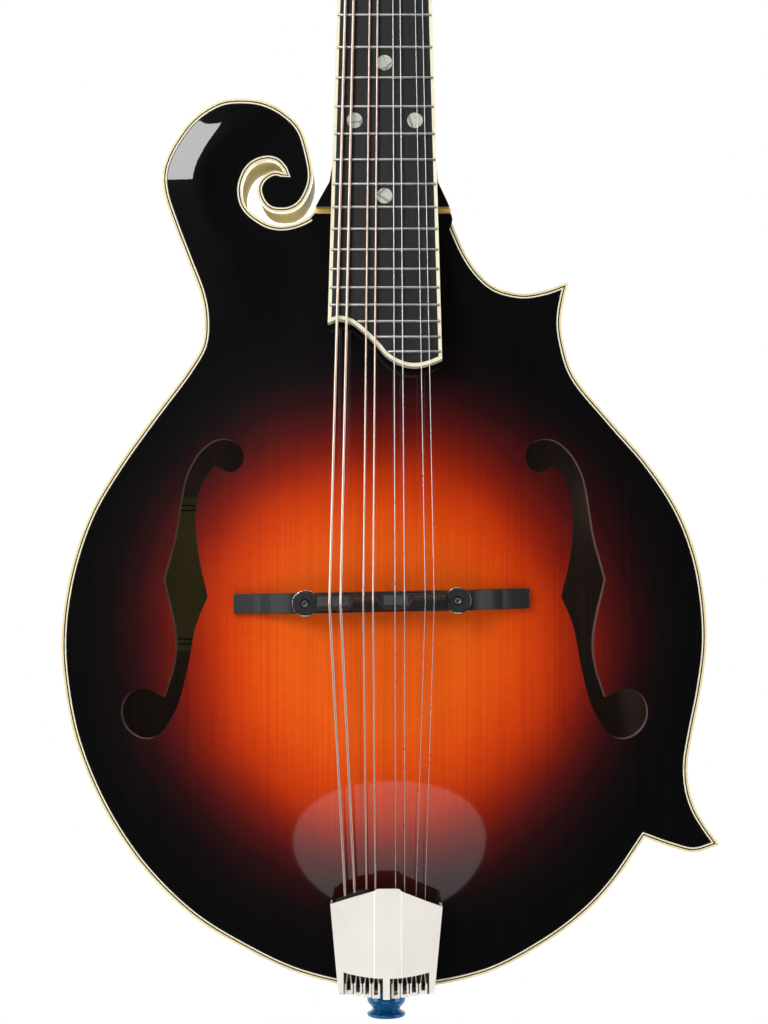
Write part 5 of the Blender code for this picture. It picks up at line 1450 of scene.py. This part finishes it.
def dress_cad_nodes():
    """Materials for the CAD nodes that show or nearly show."""
    looks = {"wood": ["top_lining", "back_lining", "tail_block", "upper_point_block", "lower_point_block",
                      "tone_bar_bass", "tone_bar_treble"],
             "lacquer": ["head_block"], "steel": ["truss_rod"], "brass": ["truss_rod_nut"]}
    for look, nodes in looks.items():
        for node in nodes:
            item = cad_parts[node]
            for slot in item.material_slots:
                slot.link = "OBJECT"
                slot.material = LOOKS[look]


# ---- Stage ----
def area_light(name, place, target, size, power, glossy=True):
    """A rectangular light that faces a target. It is left out of reflections where glossy is False."""
    light = bpy.data.lights.new(name, "AREA")
    light.shape = "RECTANGLE"
    light.size, light.size_y = size
    light.energy = power
    item = bpy.data.objects.new(name, light)
    item.location = place
    item.rotation_euler = (Vector(target) - Vector(place)).to_track_quat("-Z", "Y").to_euler()
    item.visible_glossy = glossy
    bpy.context.scene.collection.objects.link(item)


def build_lights():
    middle = (0.0, 0.0, -0.34)
    area_light("key_upper_left", (-0.57, -1.0, 0.185), (-0.076, -0.02, -0.17), (0.44, 0.49), 8.4)
    area_light("low_front", (-0.2, -1.05, -1.03), (-0.1, -0.02, -0.445), (1.0, 0.37), 1.3)
    area_light("backdrop_panel", (-0.04, 1.6, -0.2), (-0.04, 0.0, -0.2), (0.56, 0.56), 2.0)
    area_light("left_side", (-1.5, -0.5, -0.2), middle, (0.9, 1.4), 9.0)
    area_light("right_side", (1.5, -0.5, -0.2), middle, (0.9, 1.4), 8.0)
    area_light("overhead", (0.0, -0.6, 1.3), middle, (1.2, 0.8), 8.0)
    area_light("front_fill", (0.0, -1.6, -0.3), middle, (1.6, 1.6), 6.6, glossy=False)
    area_light("back_fill", (0.0, 1.8, -0.1), middle, (1.6, 1.6), 9.0, glossy=False)


def build_floor():
    """A wide pale floor that glows a little, so that it stays near white."""
    work = bmesh.new()
    bmesh.ops.create_circle(work, cap_ends=True, segments=96, radius=4.5)
    floor = from_bmesh("floor", work, Matrix.Translation((0.0, 0.0, -1.5)))
    pale = plain("pale_floor", colour(236, 236, 234), 0.8, contrast=0.01)
    shader = pale.node_tree.nodes["Principled BSDF"]
    shader.inputs["Emission Color"].default_value = WHITE
    shader.inputs["Emission Strength"].default_value = 0.45
    floor.data.materials.append(pale)
    floor.visible_glossy = False


def build_world():
    """White to the camera. To everything else it is dark in front, and bright behind the instrument."""
    world = bpy.data.worlds.new("studio")
    bpy.context.scene.world = world
    world.use_nodes = True
    tree = world.node_tree
    tree.nodes.clear()
    direction = add_node(tree, "ShaderNodeTexCoord").outputs["Generated"]
    split = add_node(tree, "ShaderNodeSeparateXYZ", {0: direction})
    fade = {"Value": split.outputs["Y"], "From Min": -0.1, "From Max": 0.5, "To Min": 0.012, "To Max": 0.95}
    strength = add_node(tree, "ShaderNodeMapRange", fade, interpolation_type="SMOOTHSTEP").outputs["Result"]
    dim = add_node(tree, "ShaderNodeBackground", {"Color": WHITE, "Strength": strength})
    seen = add_node(tree, "ShaderNodeBackground", {"Color": WHITE, "Strength": 1.0})
    to_camera = add_node(tree, "ShaderNodeLightPath").outputs["Is Camera Ray"]
    mix = add_node(tree, "ShaderNodeMixShader", {0: to_camera, 1: dim.outputs[0], 2: seen.outputs[0]})
    add_node(tree, "ShaderNodeOutputWorld", {"Surface": mix.outputs[0]})


def build_camera():
    camera = bpy.data.cameras.new("camera")
    camera.sensor_width = 36.0
    camera.lens = 91.48
    camera.clip_start = 0.05
    item = bpy.data.objects.new("camera", camera)
    item.location = (-0.0002, -1.010, -0.3188)
    item.rotation_euler = (math.pi / 2, 0.0, 0.0)
    bpy.context.scene.collection.objects.link(item)
    bpy.context.scene.camera = item
    bpy.context.scene.view_settings.view_transform = "Standard"


def main():
    build_plates()
    build_bindings()
    build_joint_strip()
    build_ribs()
    build_label()
    build_neck()
    build_fingerboard()
    build_nut()
    build_headstock()
    build_rod_cover()
    for node, side in (("tuner_plate_bass", -1), ("tuner_plate_treble", 1)):
        build_tuner_plate(node, side)
        for index in range(len(POSTS_DOWN)):
            build_post(side, index)
            build_knob(side, index)
    build_bridge_base()
    build_saddle()
    for side, name in ((-1, "bass"), (1, "treble")):
        build_adjuster(side, name)
    build_tailpiece()
    build_tailpiece_base()
    build_strap_button()
    build_strings()
    dress_cad_nodes()
    build_floor()
    build_world()
    build_lights()
    build_camera()


main()
